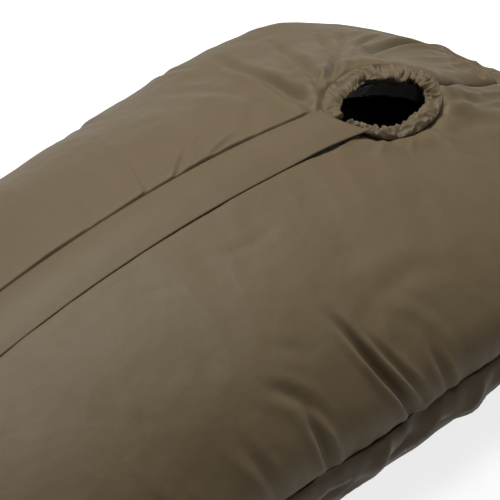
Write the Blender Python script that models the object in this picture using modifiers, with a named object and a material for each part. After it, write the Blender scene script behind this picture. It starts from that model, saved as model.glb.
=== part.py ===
"""Mummy sleeping bag with a covered centre zip, as separate sub-parts.

Metres, +Z up, the bag lies on its back on z = 0 with its head towards +X.
The plane y = 0 runs through the zip. The layers of every panel (shell, wadding,
liner) are nested copies of one outer surface, each a set depth inside it.
"""
from math import asin, cos, pi, radians, sin, sqrt

import bmesh
import bpy
from mathutils import Matrix, Vector

# ---- driving dimensions --------------------------------------------------
CROWN_X = 1.075            # head end of the bag
FOOT_END_X = -1.075        # outermost point of the domed foot panel
FOOT_X = -1.020            # seam between the long panels and the foot panel
GAP = 0.0003               # clearance between neighbouring pieces

SHOULDER_X = 0.750         # widest station
SHOULDER_HALF = 0.418      # half of the shoulder width
FOOT_HALF = 0.270          # half of the width at the foot
HEAD_POWER = 2.8           # roundness of the plan outline round the head
TAPER_POWER = 1.5          # how late the sides run in towards the foot

RIDGE_X = 0.095            # highest station, over the chest
RIDGE_TOP = 0.424          # height of the lofted bag there
RIDGE_RADIUS = 2.260       # the zip lies on this arc, seen from the side
HEAD_RIDGE_X = 0.600       # past this the ridge rounds down to the crown
CROWN_POWER = 3.05
ZIP_FOOT_X = -0.500        # lower end of the zip
FOOT_EASE = 0.120          # how fast the ridge levels out below the zip

SEAM_HEAD_Z = 0.188        # height of the side seam along the torso and hood
SEAM_FOOT_Z = 0.108        # and at the foot
BASE_FLAT = 0.50           # share of the half width that lies flat on the ground
BASE_RISE_X = 0.800        # the base lifts off the ground past this, to the crown

SHELL_T = 0.0010           # outer fabric stand-in
BATT_SPLIT_X = 0.240       # the filling is laid in a leg length and a chest length
WADDING_T = 0.0260         # filling
LINER_T = 0.0010           # lining stand-in
SHELL_IN = SHELL_T
WADDING_OUT = SHELL_IN + GAP
WADDING_IN = WADDING_OUT + WADDING_T
LINER_OUT = WADDING_IN + GAP
LINER_IN = LINER_OUT + LINER_T

# face opening: an ellipse in a plane that leans down towards the crown
FACE_X = 0.715
FACE_Z = 0.3345
FACE_TILT = radians(16.5)
FACE_CUT_A = 0.1180        # half length of the cut in the panels, along the bag
FACE_CUT_B = 0.0812        # half width of the cut
HEM_A = 0.1015             # centreline of the gathered hem casing
HEM_B = 0.0645
HEM_HALF_W = 0.0150        # half of the casing's width
HEM_HALF_H = 0.0050        # half of its thickness
HEM_WALL = 0.0015
HEM_GAP_HALF = 0.0090      # half of the gap in the hem at the top of the zip
DRAWCORD_D = 0.0040

# zip, offsets are along the arc's radius from the ridge line
SHELL_SLOT_HALF = 0.0090
INNER_SLOT_HALF = 0.0220
TAPE_Z = (-0.0060, -0.0050)
TAPE_Y = (0.0037, 0.0185)
COIL_Z = (-0.0075, -0.0035)
COIL_Y = (0.0008, 0.0034)
ZIP_TOP_X = 0.6220
SLIDER_X = 0.5980
SLIDER_LENGTH = 0.0190
SLIDER_HALF_W = 0.0070
SLIDER_PLATE = 0.0016
SLIDER_BAIL_H = 0.0046
PULL_LENGTH = 0.0300
PULL_HALF_W = 0.0040
PULL_T = 0.0014
INNER_PULL_LENGTH = 0.0240

# storm flap over the zip
FLAP_SEWN_Y = 0.0460
FLAP_FREE_Y = -0.0500
FLAP_T = 0.0016
FLAP_SPLIT_X = 0.2700      # the part above this folds open
FLAP_END_X = 0.6000
FLAP_ARCH = 0.0095         # clear height over the slider
FLAP_REST = 0.0034         # clear height over the hook and loop tapes
FLAP_HINGE_LIFT = 0.0010   # the fold line is the tangent at the middle of that part
HOOK_Y = (-0.0460, -0.0260)
HOOK_X = (0.4250, 0.5750)
HOOK_T = 0.0012

TUBE_HALF_W = 0.0280       # draught tube behind the zip
TUBE_HALF_H = 0.0100
TUBE_DEPTH = 0.0460

OLIVE = (0.168, 0.134, 0.090)
OLIVE_BASE = (0.150, 0.116, 0.084)
BLACK = (0.012, 0.012, 0.013)
WADDING = (0.780, 0.770, 0.740)
METAL = (0.420, 0.410, 0.390)

PARTS = "mummy_sleeping_bag"
CUTTERS = "cutters"


# ---- scene set-up ----------------------------------------------------------
def clear_scene():
    """Remove every object, then make the two collections."""
    for item in list(bpy.data.objects):
        bpy.data.objects.remove(item, do_unlink=True)
    for name in (PARTS, CUTTERS):
        if name not in bpy.data.collections:
            bpy.context.scene.collection.children.link(bpy.data.collections.new(name))


def make_material(name, colour, roughness, metallic=0.0):
    """A Principled material with one colour, roughness and metallic value."""
    material = bpy.data.materials.new(name)
    material.use_nodes = True
    shader = material.node_tree.nodes["Principled BSDF"]
    shader.inputs["Base Color"].default_value = (*colour, 1.0)
    shader.inputs["Roughness"].default_value = roughness
    shader.inputs["Metallic"].default_value = metallic
    material.diffuse_color = (*colour, 1.0)
    return material


def add_object(name, data, material=None, collection=PARTS):
    """Link one object for `data` into a collection."""
    item = bpy.data.objects.new(name, data)
    bpy.data.collections[collection].objects.link(item)
    if material:
        data.materials.append(material)
    return item


def face_outwards(shape):
    """Give every face of a closed bmesh the winding that makes its volume positive."""
    bmesh.ops.recalc_face_normals(shape, faces=shape.faces)
    if shape.calc_volume(signed=True) < 0.0:
        bmesh.ops.reverse_faces(shape, faces=shape.faces)


def mesh_object(name, points, faces, material, collection=PARTS):
    """One closed mesh object from points and faces, faces turned outwards."""
    mesh = bpy.data.meshes.new(name)
    mesh.from_pydata([tuple(p) for p in points], [], faces)
    shape = bmesh.new()
    shape.from_mesh(mesh)
    bmesh.ops.remove_doubles(shape, verts=shape.verts, dist=0.000001)
    bmesh.ops.dissolve_degenerate(shape, edges=shape.edges, dist=0.000001)
    bmesh.ops.triangulate(shape, faces=shape.faces)
    face_outwards(shape)
    shape.to_mesh(mesh)
    shape.free()
    return add_object(name, mesh, material, collection)


def set_origin(item, point):
    """Move an object's origin to a world point, leaving its mesh in place."""
    offset = Vector(point) - item.location
    item.data.transform(Matrix.Translation(-offset))
    item.location = Vector(point)


def cut(item, cutter):
    """Boolean difference, applied at once."""
    step = item.modifiers.new("cut", "BOOLEAN")
    step.operation = "DIFFERENCE"
    step.solver = "EXACT"
    step.object = cutter
    bpy.context.view_layer.update()
    graph = bpy.context.evaluated_depsgraph_get()
    result = bpy.data.meshes.new_from_object(item.evaluated_get(graph))
    item.modifiers.clear()
    old = item.data
    item.data = result
    bpy.data.meshes.remove(old)


def hide_cutter(item):
    """Keep a cutter out of renders and drawn as wire."""
    item.hide_render = True
    item.display_type = "WIRE"


# ---- the bag's outer surface --------------------------------------------------
def half_width(x, depth, crown):
    """Half of the plan width at x, for a layer `depth` inside the surface."""
    if x > SHOULDER_X:
        share = min(1.0, (x - SHOULDER_X) / (crown - SHOULDER_X))
        return (SHOULDER_HALF - depth) * (1.0 - share ** HEAD_POWER) ** (1.0 / HEAD_POWER)
    share = (SHOULDER_X - x) / (SHOULDER_X - FOOT_END_X)
    return SHOULDER_HALF - (SHOULDER_HALF - FOOT_HALF) * share ** TAPER_POWER - depth


def ridge_arc(x):
    """Height of the zip's arc at x."""
    return RIDGE_TOP - RIDGE_RADIUS + sqrt(RIDGE_RADIUS ** 2 - (x - RIDGE_X) ** 2)


def seam_height(x):
    """Height of the side seam at x."""
    share = min(1.0, max(0.0, (RIDGE_X - x) / (RIDGE_X - FOOT_END_X)))
    return SEAM_HEAD_Z - (SEAM_HEAD_Z - SEAM_FOOT_Z) * share * share * (3.0 - 2.0 * share)


def ridge_height(x, depth, crown):
    """Height of the ridge line at x: foot curve, zip arc, then the crown."""
    if x < ZIP_FOOT_X:
        slope = (RIDGE_X - ZIP_FOOT_X) / (ridge_arc(ZIP_FOOT_X) - RIDGE_TOP + RIDGE_RADIUS)
        run = ZIP_FOOT_X - x
        return ridge_arc(ZIP_FOOT_X) - slope * run + FOOT_EASE * run * run - depth
    if x > HEAD_RIDGE_X:
        share = min(1.0, (x - HEAD_RIDGE_X) / (crown - HEAD_RIDGE_X))
        inset = 1.0 - depth / (ridge_arc(HEAD_RIDGE_X) - SEAM_HEAD_Z)
        rise = (ridge_arc(x) - SEAM_HEAD_Z) * inset
        return SEAM_HEAD_Z + rise * (1.0 - share ** CROWN_POWER) ** (1.0 / CROWN_POWER)
    return ridge_arc(x) - depth


def base_height(x, depth, crown):
    """Height of the underside at x, which is the depth until it lifts at the crown."""
    if x <= BASE_RISE_X:
        return depth
    share = min(1.0, (x - BASE_RISE_X) / (crown - BASE_RISE_X))
    lift = 1.0 - (1.0 - share ** HEAD_POWER) ** (1.0 / HEAD_POWER)
    return depth + (SEAM_HEAD_Z - GAP / 2 - depth) * lift


def stations(depth):
    """Positions along the bag, closer together round the head."""
    crown = CROWN_X - depth
    torso = 17
    head = 9
    places = [FOOT_X + (SHOULDER_X - FOOT_X) * i / torso for i in range(torso)]
    for i in range(head + 1):
        turn = sin(pi / 2 * i / head) ** (2.0 / HEAD_POWER)
        places.append(SHOULDER_X + (crown - SHOULDER_X) * turn)
    return places


def front_row(x, depth, side, columns=8):
    """Points from the side seam to the ridge, on one side of the bag."""
    crown = CROWN_X - depth
    wide = max(half_width(x, depth, crown), GAP / 2)
    low = seam_height(x) + GAP / 2
    high = max(ridge_height(x, depth, crown), low)
    row = []
    for i in range(columns + 1):
        turn = pi / 2 * i / columns
        across = GAP / 2 + (wide - GAP / 2) * max(cos(turn), 0.0)
        row.append(Vector((x, side * across, low + (high - low) * sin(turn))))
    return row


def base_row(x, depth, columns=5):
    """Points under the bag, from the near side seam to the far one."""
    crown = CROWN_X - depth
    wide = max(half_width(x, depth, crown), 0.0)
    top = seam_height(x) - GAP / 2
    low = min(base_height(x, depth, crown), top)
    flat = BASE_FLAT * wide
    row = []
    for side in (-1.0, 1.0):
        quarter = []
        for i in range(columns + 1):
            turn = pi / 2 * i / columns
            across = flat + (wide - flat) * max(cos(turn), 0.0)
            quarter.append(Vector((x, side * across, top - (top - low) * sin(turn))))
        if side < 0:
            row += quarter + [Vector((x, 0.0, low))]
        else:
            row += quarter[::-1]
    return row


def layer_faces(rows, columns, wrap=False):
    """Faces of a solid between an outer and an inner grid of rows x columns points.

    The outer grid's points come first. With `wrap` the columns run right round.
    Every quad is split the same way in both grids, so thin layers stay apart.
    """
    faces = []
    inner = rows * columns

    def at(row, column):
        return row * columns + column % columns

    spans = columns if wrap else columns - 1
    for r in range(rows - 1):
        for c in range(spans):
            a, b = at(r, c), at(r, c + 1)
            d, e = at(r + 1, c), at(r + 1, c + 1)
            for one, two, three in ((a, b, e), (a, e, d)):
                faces += [(one, two, three), (inner + three, inner + two, inner + one)]
    for c in range(spans):
        for r in (0, rows - 1):
            a, b = at(r, c), at(r, c + 1)
            faces.append((a, b, inner + b, inner + a))
    if not wrap:
        for r in range(rows - 1):
            for c in (0, columns - 1):
                a, b = at(r, c), at(r + 1, c)
                faces.append((a, b, inner + b, inner + a))
    return faces


def layer_solid(name, outer, inner, material, wrap=False, collection=PARTS):
    """A closed solid between two grids of points."""
    points = [p for row in outer for p in row] + [p for row in inner for p in row]
    faces = layer_faces(len(outer), len(outer[0]), wrap)
    return mesh_object(name, points, faces, material, collection)


def part_stations(depth, part):
    """Stations of the whole length, or of its leg part or chest part."""
    places = stations(depth)
    split = min(range(len(places)), key=lambda i: abs(places[i] - BATT_SPLIT_X))
    if part == "leg":
        return places[:split + 1]
    if part == "chest":
        return [places[split] + GAP] + places[split + 1:]
    return places


def front_panel(name, side, outer, inner, material, part="whole"):
    """One half of the top of the bag, between two depths."""
    grids = [[front_row(x, d, side) for x in part_stations(d, part)] for d in (outer, inner)]
    return layer_solid(name, grids[0], grids[1], material)


def base_panel(name, outer, inner, material, part="whole"):
    """The underside of the bag, between two depths."""
    grids = [[base_row(x, d) for x in part_stations(d, part)] for d in (outer, inner)]
    return layer_solid(name, grids[0], grids[1], material)


# ---- foot panel ------------------------------------------------------------
def foot_outline(depth):
    """The closed outline at the foot seam, for a layer `depth` inside."""
    near = front_row(FOOT_X, depth, -1.0)
    far = front_row(FOOT_X, depth, 1.0)
    under = base_row(FOOT_X, depth)
    return near[:-1] + [(near[-1] + far[-1]) / 2] + far[-2::-1] + under[-2:0:-1]


def foot_dome(depth, rings=5):
    """Rings of a dome that closes the foot, outermost first, and its centre point."""
    outline = foot_outline(depth)
    middle = Vector((FOOT_X, 0.0, (ridge_height(FOOT_X, 0.0, CROWN_X)) / 2))
    swell = FOOT_X - GAP - FOOT_END_X - depth
    grid = []
    for i in range(rings):
        turn = pi / 2 * i / rings
        ring = []
        for point in outline:
            out = middle + (point - middle) * cos(turn)
            ring.append(Vector((FOOT_X - GAP - swell * sin(turn), out.y, out.z)))
        grid.append(ring)
    return grid, Vector((FOOT_X - GAP - swell, 0.0, middle.z))


def foot_panel(name, outer, inner, material):
    """The oval, slightly domed panel at the foot, between two depths."""
    outer_grid, outer_tip = foot_dome(outer)
    inner_grid, inner_tip = foot_dome(inner)
    count = len(outer_grid[0])
    rings = len(outer_grid)
    points = [p for ring in outer_grid for p in ring] + [outer_tip]
    shift = len(points)
    points += [p for ring in inner_grid for p in ring] + [inner_tip]
    faces = []
    for base in (0, shift):
        for r in range(rings - 1):
            for c in range(count):
                a, b = base + r * count + c, base + r * count + (c + 1) % count
                faces += [(a, b, b + count), (a, b + count, a + count)]
        last = base + (rings - 1) * count
        for c in range(count):
            faces.append((last + c, last + (c + 1) % count, base + rings * count))
    for c in range(count):
        b = (c + 1) % count
        faces.append((c, b, shift + b, shift + c))
    return mesh_object(name, points, faces, material)


# ---- things that follow the zip's arc --------------------------------------
def arc_angle(x):
    """Angle of the arc at x, from straight up, towards the head."""
    return asin((x - RIDGE_X) / RIDGE_RADIUS)


def on_arc(angle, y, lift):
    """A point at an angle of the arc, y across and `lift` outside the ridge."""
    reach = RIDGE_RADIUS + lift
    base = RIDGE_TOP - RIDGE_RADIUS
    return Vector((RIDGE_X + reach * sin(angle), y, base + reach * cos(angle)))


def arc_strip(name, x_range, profile, material, steps, collection=PARTS):
    """A bar with a closed profile of (y, lift) corners, swept along the arc."""
    start, end = (arc_angle(x) for x in x_range)
    count = len(profile)
    points = []
    for i in range(steps + 1):
        angle = start + (end - start) * i / steps
        points += [on_arc(angle, y, lift) for y, lift in profile]
    faces = [tuple(range(count)), tuple(steps * count + c for c in range(count))]
    for i in range(steps):
        for c in range(count):
            a, b = i * count + c, i * count + (c + 1) % count
            faces.append((a, b, b + count, a + count))
    return mesh_object(name, points, faces, material, collection)


def box_profile(y_range, lift_range):
    """Corners of a rectangle in (y, lift)."""
    (y0, y1), (z0, z1) = y_range, lift_range
    return [(y0, z0), (y1, z0), (y1, z1), (y0, z1)]


def mirrored(values):
    """The same range on the other side of the zip."""
    return tuple(-v for v in values)


# ---- zip ---------------------------------------------------------------------
def coil_profile(side):
    """A flattened round bar for one row of the coil."""
    middle = (COIL_Y[0] + COIL_Y[1]) / 2
    half = (COIL_Y[1] - COIL_Y[0]) / 2
    level = (COIL_Z[0] + COIL_Z[1]) / 2
    tall = (COIL_Z[1] - COIL_Z[0]) / 2
    turns = [radians(30 + 60 * i) for i in range(6)]
    return [(side * (middle + half * cos(t) / cos(radians(30))), level + tall * sin(t)) for t in turns]


def add_box(shape, low, high):
    """Add a box between two corners to a bmesh."""
    corners = [Vector((x, y, z)) for x in (low[0], high[0]) for y in (low[1], high[1])
               for z in (low[2], high[2])]
    verts = [shape.verts.new(c) for c in corners]
    for ids in ((0, 1, 3, 2), (4, 6, 7, 5), (0, 4, 5, 1), (2, 3, 7, 6), (0, 2, 6, 4), (1, 5, 7, 3)):
        shape.faces.new([verts[i] for i in ids])


def box_object(name, low, high, material, collection=PARTS):
    """A box object between two corners."""
    shape = bmesh.new()
    add_box(shape, low, high)
    face_outwards(shape)
    mesh = bpy.data.meshes.new(name)
    shape.to_mesh(mesh)
    shape.free()
    return add_object(name, mesh, material, collection)


def join_boxes(name, boxes, material):
    """One solid from several overlapping boxes, by exact unions."""
    body = box_object(name, boxes[0][0], boxes[0][1], material)
    for low, high in boxes[1:]:
        extra = box_object(name + "_add", low, high, material, CUTTERS)
        step = body.modifiers.new("join", "BOOLEAN")
        step.operation = "UNION"
        step.solver = "EXACT"
        step.object = extra
        bpy.context.view_layer.update()
        graph = bpy.context.evaluated_depsgraph_get()
        result = bpy.data.meshes.new_from_object(body.evaluated_get(graph))
        body.modifiers.clear()
        body.data = result
        bpy.data.objects.remove(extra, do_unlink=True)
    return body


def place_on_arc(item, x):
    """Turn a piece modelled about the ridge point so it sits on the arc at x.

    Its origin goes to the arc's centre, which is the axis that it travels about.
    """
    centre = Vector((RIDGE_X, 0.0, RIDGE_TOP - RIDGE_RADIUS))
    item.data.transform(Matrix.Translation((0.0, 0.0, RIDGE_RADIUS)))
    item.data.transform(Matrix.Rotation(arc_angle(x), 4, "Y"))
    item.location = centre


def slider_boxes():
    """Plates, neck, side lips and the two bails of the slider, about the ridge point."""
    half_l = SLIDER_LENGTH / 2
    wide = SLIDER_HALF_W
    top = COIL_Z[1] + GAP
    low = COIL_Z[0] - GAP
    bail_half = 0.0012
    boxes = [((-half_l, -wide, top), (half_l, wide, top + SLIDER_PLATE)),
             ((-half_l, -wide, low - SLIDER_PLATE), (half_l, wide, low)),
             ((half_l - 0.006, -0.0005, low - 0.0002), (half_l - 0.001, 0.0005, top + 0.0002))]
    for side in (-1.0, 1.0):
        y0, y1 = sorted((side * (wide - 0.0012), side * wide))
        boxes.append(((-half_l, y0, TAPE_Z[1] + 0.0004), (half_l, y1, top + 0.0002)))
        boxes.append(((-half_l, y0, low - 0.0002), (half_l, y1, TAPE_Z[0] - 0.0004)))
    crest = top + SLIDER_PLATE
    for sign, start in ((1.0, crest), (-1.0, low - SLIDER_PLATE)):
        reach = start + sign * SLIDER_BAIL_H
        under = start - sign * 0.0002
        for x0, x1 in ((-0.0060, -0.0046), (0.0046, 0.0060)):
            z0, z1 = sorted((under, reach))
            boxes.append(((x0, -bail_half, z0), (x1, bail_half, z1)))
        z0, z1 = sorted((reach - sign * 0.0012, reach))
        boxes.append(((-0.0060, -bail_half, z0), (0.0060, bail_half, z1)))
    return boxes


def pull_solid(name, length, level, material):
    """A flat pull with a window at its root, lying towards the foot at one level.

    The bar at its root is the hinge, at x = 0, and the bail passes through the window.
    """
    half_t = PULL_T / 2
    root = 0.0009
    body = box_object(name, (root - length, -PULL_HALF_W, level - half_t),
                      (root, PULL_HALF_W, level + half_t), material)
    corner = body.modifiers.new("round", "BEVEL")
    corner.width = 0.0014
    corner.segments = 3
    corner.limit_method = "ANGLE"
    corner.affect = "EDGES"
    bpy.context.view_layer.update()
    graph = bpy.context.evaluated_depsgraph_get()
    body.modifiers.remove(corner)
    window = box_object(name + "_window", (-0.0078, -0.0019, level - 0.01), (-0.0008, 0.0019, level + 0.01),
                        None, CUTTERS)
    hole = box_object(name + "_hole", (root - length + 0.0035, -0.0013, level - 0.01),
                      (root - length + 0.0085, 0.0013, level + 0.01), None, CUTTERS)
    for cutter in (window, hole):
        cut(body, cutter)
        bpy.data.objects.remove(cutter, do_unlink=True)
    return body


def pull_levels():
    """Heights of the hinge axes of the outer and inner pulls."""
    outer = COIL_Z[1] + GAP + SLIDER_PLATE + 0.0019
    inner = COIL_Z[0] - GAP - SLIDER_PLATE - 0.0019
    return outer, inner


# ---- storm flap ------------------------------------------------------------
def flap_lift(y):
    """Clear height of the flap's underside over the ridge line, across the flap."""
    fall = 0.0015 * (y / 0.05) ** 2
    rest = FLAP_REST if y < 0 else 0.0005 + (FLAP_REST - 0.0005) * max(0.0, 1.0 - y / 0.030)
    arch = max(0.0, 1.0 - (abs(y) / 0.026) ** 3.0)
    return rest + (FLAP_ARCH - FLAP_REST) * min(1.0, arch * 1.15) - fall


def flap_piece(name, x_range, material, steps, columns=16):
    """A length of the flap, from its sewn edge to its free edge."""
    start, end = (arc_angle(x) for x in x_range)
    grids = []
    for extra in (FLAP_T, 0.0):
        grid = []
        for i in range(steps + 1):
            angle = start + (end - start) * i / steps
            row = []
            for c in range(columns + 1):
                y = FLAP_SEWN_Y + (FLAP_FREE_Y - FLAP_SEWN_Y) * c / columns
                row.append(on_arc(angle, y, flap_lift(y) + extra))
            grid.append(row)
        grids.append(grid)
    return layer_solid(name, grids[0], grids[1], material)


# ---- hem of the face opening -------------------------------------------------
def face_matrix():
    """Frame of the face opening: local x towards the crown, z out of the bag."""
    turn = Matrix.Rotation(FACE_TILT, 4, "Y")
    return Matrix.Translation((FACE_X, 0.0, FACE_Z)) @ turn


def hem_angles(count):
    """Angles round the opening, from one side of the zip gap to the other."""
    gap = asin(HEM_GAP_HALF / HEM_B)
    return [-pi + gap + (2 * pi - 2 * gap) * i / count for i in range(count + 1)]


def hem_grid(shrink, count=44, around=12):
    """Grid of the casing's surface, `shrink` inside its outside."""
    place = face_matrix()
    grid = []
    for angle in hem_angles(count):
        middle = Vector((HEM_A * cos(angle), HEM_B * sin(angle), 0.0))
        out = Vector((HEM_B * cos(angle), HEM_A * sin(angle), 0.0)).normalized()
        row = []
        for i in range(around):
            turn = 2 * pi * i / around
            point = middle + out * (HEM_HALF_W - shrink) * cos(turn)
            point = point + Vector((0.0, 0.0, (HEM_HALF_H - shrink) * sin(turn)))
            row.append(place @ point)
        grid.append(row)
    return grid


def drawcord(material):
    """The cord inside the hem casing, an open curve with filled caps."""
    curve = bpy.data.curves.new("hood_drawcord", "CURVE")
    curve.dimensions = "3D"
    curve.bevel_depth = DRAWCORD_D / 2
    curve.bevel_resolution = 2
    curve.use_fill_caps = True
    spline = curve.splines.new("POLY")
    place = face_matrix()
    angles = hem_angles(44)
    spline.points.add(len(angles) - 1)
    for point, angle in zip(spline.points, angles):
        point.co = (*(place @ Vector((HEM_A * cos(angle), HEM_B * sin(angle), 0.0))), 1.0)
    item = add_object("hood_drawcord", curve, material)
    bpy.context.view_layer.update()
    graph = bpy.context.evaluated_depsgraph_get()
    mesh = bpy.data.meshes.new_from_object(item.evaluated_get(graph))
    bpy.data.objects.remove(item, do_unlink=True)
    return add_object("hood_drawcord", mesh)


def face_cutter():
    """Elliptic cylinder that opens the face in every layer of the front panels."""
    place = face_matrix()
    count = 40
    points = []
    for level in (-0.12, 0.08):
        for i in range(count):
            turn = 2 * pi * (i + 0.5) / count
            points.append(place @ Vector((FACE_CUT_A * cos(turn), FACE_CUT_B * sin(turn), level)))
    faces = [tuple(range(count)), tuple(range(count, 2 * count))]
    faces += [(c, (c + 1) % count, count + (c + 1) % count, count + c) for c in range(count)]
    item = mesh_object("cutter_face_opening", points, faces, None, CUTTERS)
    hide_cutter(item)
    return item


def slot_cutter(name, half):
    """Curved bar that opens the zip's slot in the front panels."""
    profile = box_profile((-half, half), (-0.09, 0.03))
    item = arc_strip(name, (ZIP_FOOT_X, ZIP_TOP_X + 0.02), profile, None, 24, CUTTERS)
    hide_cutter(item)
    return item


# ---- assembly -------------------------------------------------------------------
def build_panels(finish):
    """Shell, wadding and liner of the two front panels, the base and the foot."""
    layers = (("shell", 0.0, SHELL_IN), ("batt", WADDING_OUT, WADDING_IN), ("liner", LINER_OUT, LINER_IN))
    opening = face_cutter()
    slots = {"shell": slot_cutter("cutter_shell_slot", SHELL_SLOT_HALF),
             "batt": slot_cutter("cutter_inner_slot", INNER_SLOT_HALF)}
    slots["liner"] = slots["batt"]
    for layer, outer, inner in layers:
        cloth = finish[layer]
        base_cloth = finish["base"] if layer == "shell" else cloth
        parts = (("_chest", "chest"), ("_leg", "leg")) if layer == "batt" else (("", "whole"),)
        for ending, part in parts:
            for side, hand in ((-1.0, "left"), (1.0, "right")):
                name = f"front_{layer}_{hand}{ending}"
                panel = front_panel(name, side, outer, inner, cloth, part)
                cut(panel, opening)
                cut(panel, slots[layer])
            base_panel(f"base_{layer}{ending}", outer, inner, base_cloth, part)
        foot_panel(f"foot_{layer}", outer, inner, base_cloth if layer == "shell" else cloth)


def build_zip(finish):
    """Tapes, coils, stops, slider and its two pulls."""
    run = (ZIP_FOOT_X + 0.004, ZIP_TOP_X)
    for side, hand in ((-1.0, "left"), (1.0, "right")):
        tape_y = tuple(sorted(side * v for v in TAPE_Y))
        arc_strip(f"zip_tape_{hand}", run, box_profile(tape_y, TAPE_Z), finish["zip_tape"], 28)
        coil_run = (run[0] + 0.012, run[1] - 0.006)
        arc_strip(f"zip_coil_{hand}", coil_run, coil_profile(side), finish["zip_coil"], 28)
        stop_y = tuple(sorted(side * v for v in COIL_Y))
        stop = arc_strip(f"zip_top_stop_{hand}", (run[1] - 0.0055, run[1] - 0.001),
                         box_profile(stop_y, (-0.0072, -0.0038)), finish["metal"], 1)
        stop.name = f"zip_top_stop_{hand}"
    arc_strip("zip_bottom_stop", (run[0] + 0.003, run[0] + 0.0115),
              box_profile((-0.0033, 0.0033), (-0.0078, -0.0032)), finish["metal"], 1)
    slider = join_boxes("zip_slider", slider_boxes(), finish["metal"])
    place_on_arc(slider, SLIDER_X)
    for name, length, level in (("zip_pull_outer", PULL_LENGTH, pull_levels()[0]),
                                ("zip_pull_inner", INNER_PULL_LENGTH, pull_levels()[1])):
        pull = pull_solid(name, length, level, finish["metal"])
        place_on_arc(pull, SLIDER_X)
        angle = arc_angle(SLIDER_X)
        set_origin(pull, on_arc(angle, 0.0, level))


def flap_hinge_point():
    """The point on the sewn edge that the opening part of the flap folds about."""
    middle = (arc_angle(FLAP_SPLIT_X) + arc_angle(FLAP_END_X)) / 2
    return on_arc(middle, FLAP_SEWN_Y, FLAP_HINGE_LIFT)


def build_flap(finish):
    """The sewn length of the flap, the part that folds open, and its closure."""
    flap_piece("zip_flap", (ZIP_FOOT_X - 0.015, FLAP_SPLIT_X), finish["shell"], 12)
    tab = flap_piece("zip_flap_tab", (FLAP_SPLIT_X + GAP, FLAP_END_X), finish["shell"], 5)
    set_origin(tab, flap_hinge_point())
    fall = 0.0015 * (sum(HOOK_Y) / 2 / 0.05) ** 2
    loop_low = 0.0004 - fall
    bottom = [(HOOK_Y[0], loop_low - 0.0006), (HOOK_Y[1], loop_low + 0.0004)]
    loop = bottom + [(HOOK_Y[1], bottom[1][1] + HOOK_T), (HOOK_Y[0], bottom[0][1] + HOOK_T)]
    lift = HOOK_T + GAP
    hook = [(y, z + lift) for y, z in loop]
    arc_strip("flap_loop_tape", HOOK_X, loop, finish["hook"], 4)
    hook_tape = arc_strip("flap_hook_tape", HOOK_X, hook, finish["hook"], 4)
    set_origin(hook_tape, flap_hinge_point())


def build_hood_hem(finish):
    """The gathered casing round the face and the cord inside it."""
    outer, inner = hem_grid(0.0), hem_grid(HEM_WALL)
    layer_solid("hood_hem_casing", outer, inner, finish["shell"], wrap=True)
    cord = drawcord(None)
    cord.data.materials.clear()
    cord.data.materials.append(finish["cord"])


def build_draught_tube(finish):
    """The padded tube behind the zip."""
    count = 10
    profile = []
    for i in range(count):
        turn = 2 * pi * i / count
        profile.append((TUBE_HALF_W * cos(turn), TUBE_HALF_H * sin(turn) - TUBE_DEPTH))
    arc_strip("draught_tube", (ZIP_FOOT_X, ZIP_TOP_X - 0.024), profile, finish["liner"], 12)


def main():
    """Build every sub-part."""
    clear_scene()
    finish = {
        "shell": make_material("shell_fabric", OLIVE, 0.62),
        "base": make_material("base_fabric", OLIVE_BASE, 0.66),
        "batt": make_material("wadding", WADDING, 0.95),
        "liner": make_material("liner_fabric", BLACK, 0.60),
        "zip_tape": make_material("zip_tape_weave", BLACK, 0.85),
        "zip_coil": make_material("zip_coil_nylon", (0.020, 0.020, 0.020), 0.40),
        "metal": make_material("zip_metal", METAL, 0.35, 1.0),
        "hook": make_material("hook_and_loop", (0.060, 0.055, 0.045), 0.90),
        "cord": make_material("drawcord_braid", (0.030, 0.030, 0.028), 0.80),
    }
    build_panels(finish)
    build_zip(finish)
    build_flap(finish)
    build_hood_hem(finish)
    build_draught_tube(finish)


main()
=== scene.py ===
"""Looks of a lofted mummy sleeping bag: panels, hood hem, lining, flap and zip.

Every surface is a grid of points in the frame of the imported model: x runs from
foot to crown, y across and z up. A panel is laid out by x and by its girth, the
distance along the cloth from the ridge line, and is then puffed, seamed and
folded along its own normals.
"""

from __future__ import annotations

import logging
import math
from collections.abc import Mapping, Sequence
from dataclasses import dataclass
from enum import Enum

import bpy
import numpy as np
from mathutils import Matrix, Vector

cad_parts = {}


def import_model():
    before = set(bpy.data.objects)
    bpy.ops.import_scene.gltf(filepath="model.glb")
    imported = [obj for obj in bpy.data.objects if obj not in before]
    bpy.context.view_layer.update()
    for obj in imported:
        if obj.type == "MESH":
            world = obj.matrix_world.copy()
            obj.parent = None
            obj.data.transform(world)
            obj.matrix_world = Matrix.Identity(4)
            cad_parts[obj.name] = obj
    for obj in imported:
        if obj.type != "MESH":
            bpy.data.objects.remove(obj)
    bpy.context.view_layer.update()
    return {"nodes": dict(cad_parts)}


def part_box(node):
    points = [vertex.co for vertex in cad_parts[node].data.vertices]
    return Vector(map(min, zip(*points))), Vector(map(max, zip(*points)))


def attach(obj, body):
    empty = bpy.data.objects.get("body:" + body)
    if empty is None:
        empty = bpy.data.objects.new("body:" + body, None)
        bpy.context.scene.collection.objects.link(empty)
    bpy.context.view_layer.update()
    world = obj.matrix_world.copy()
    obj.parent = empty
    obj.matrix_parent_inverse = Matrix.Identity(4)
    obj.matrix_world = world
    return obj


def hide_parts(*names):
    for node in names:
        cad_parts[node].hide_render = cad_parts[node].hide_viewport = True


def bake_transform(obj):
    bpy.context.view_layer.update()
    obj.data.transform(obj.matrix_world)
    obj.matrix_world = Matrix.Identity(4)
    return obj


LOG = logging.getLogger("sleeping_bag")
Array = np.ndarray
Object = bpy.types.Object
CREASE_MEAN = 0.4


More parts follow.
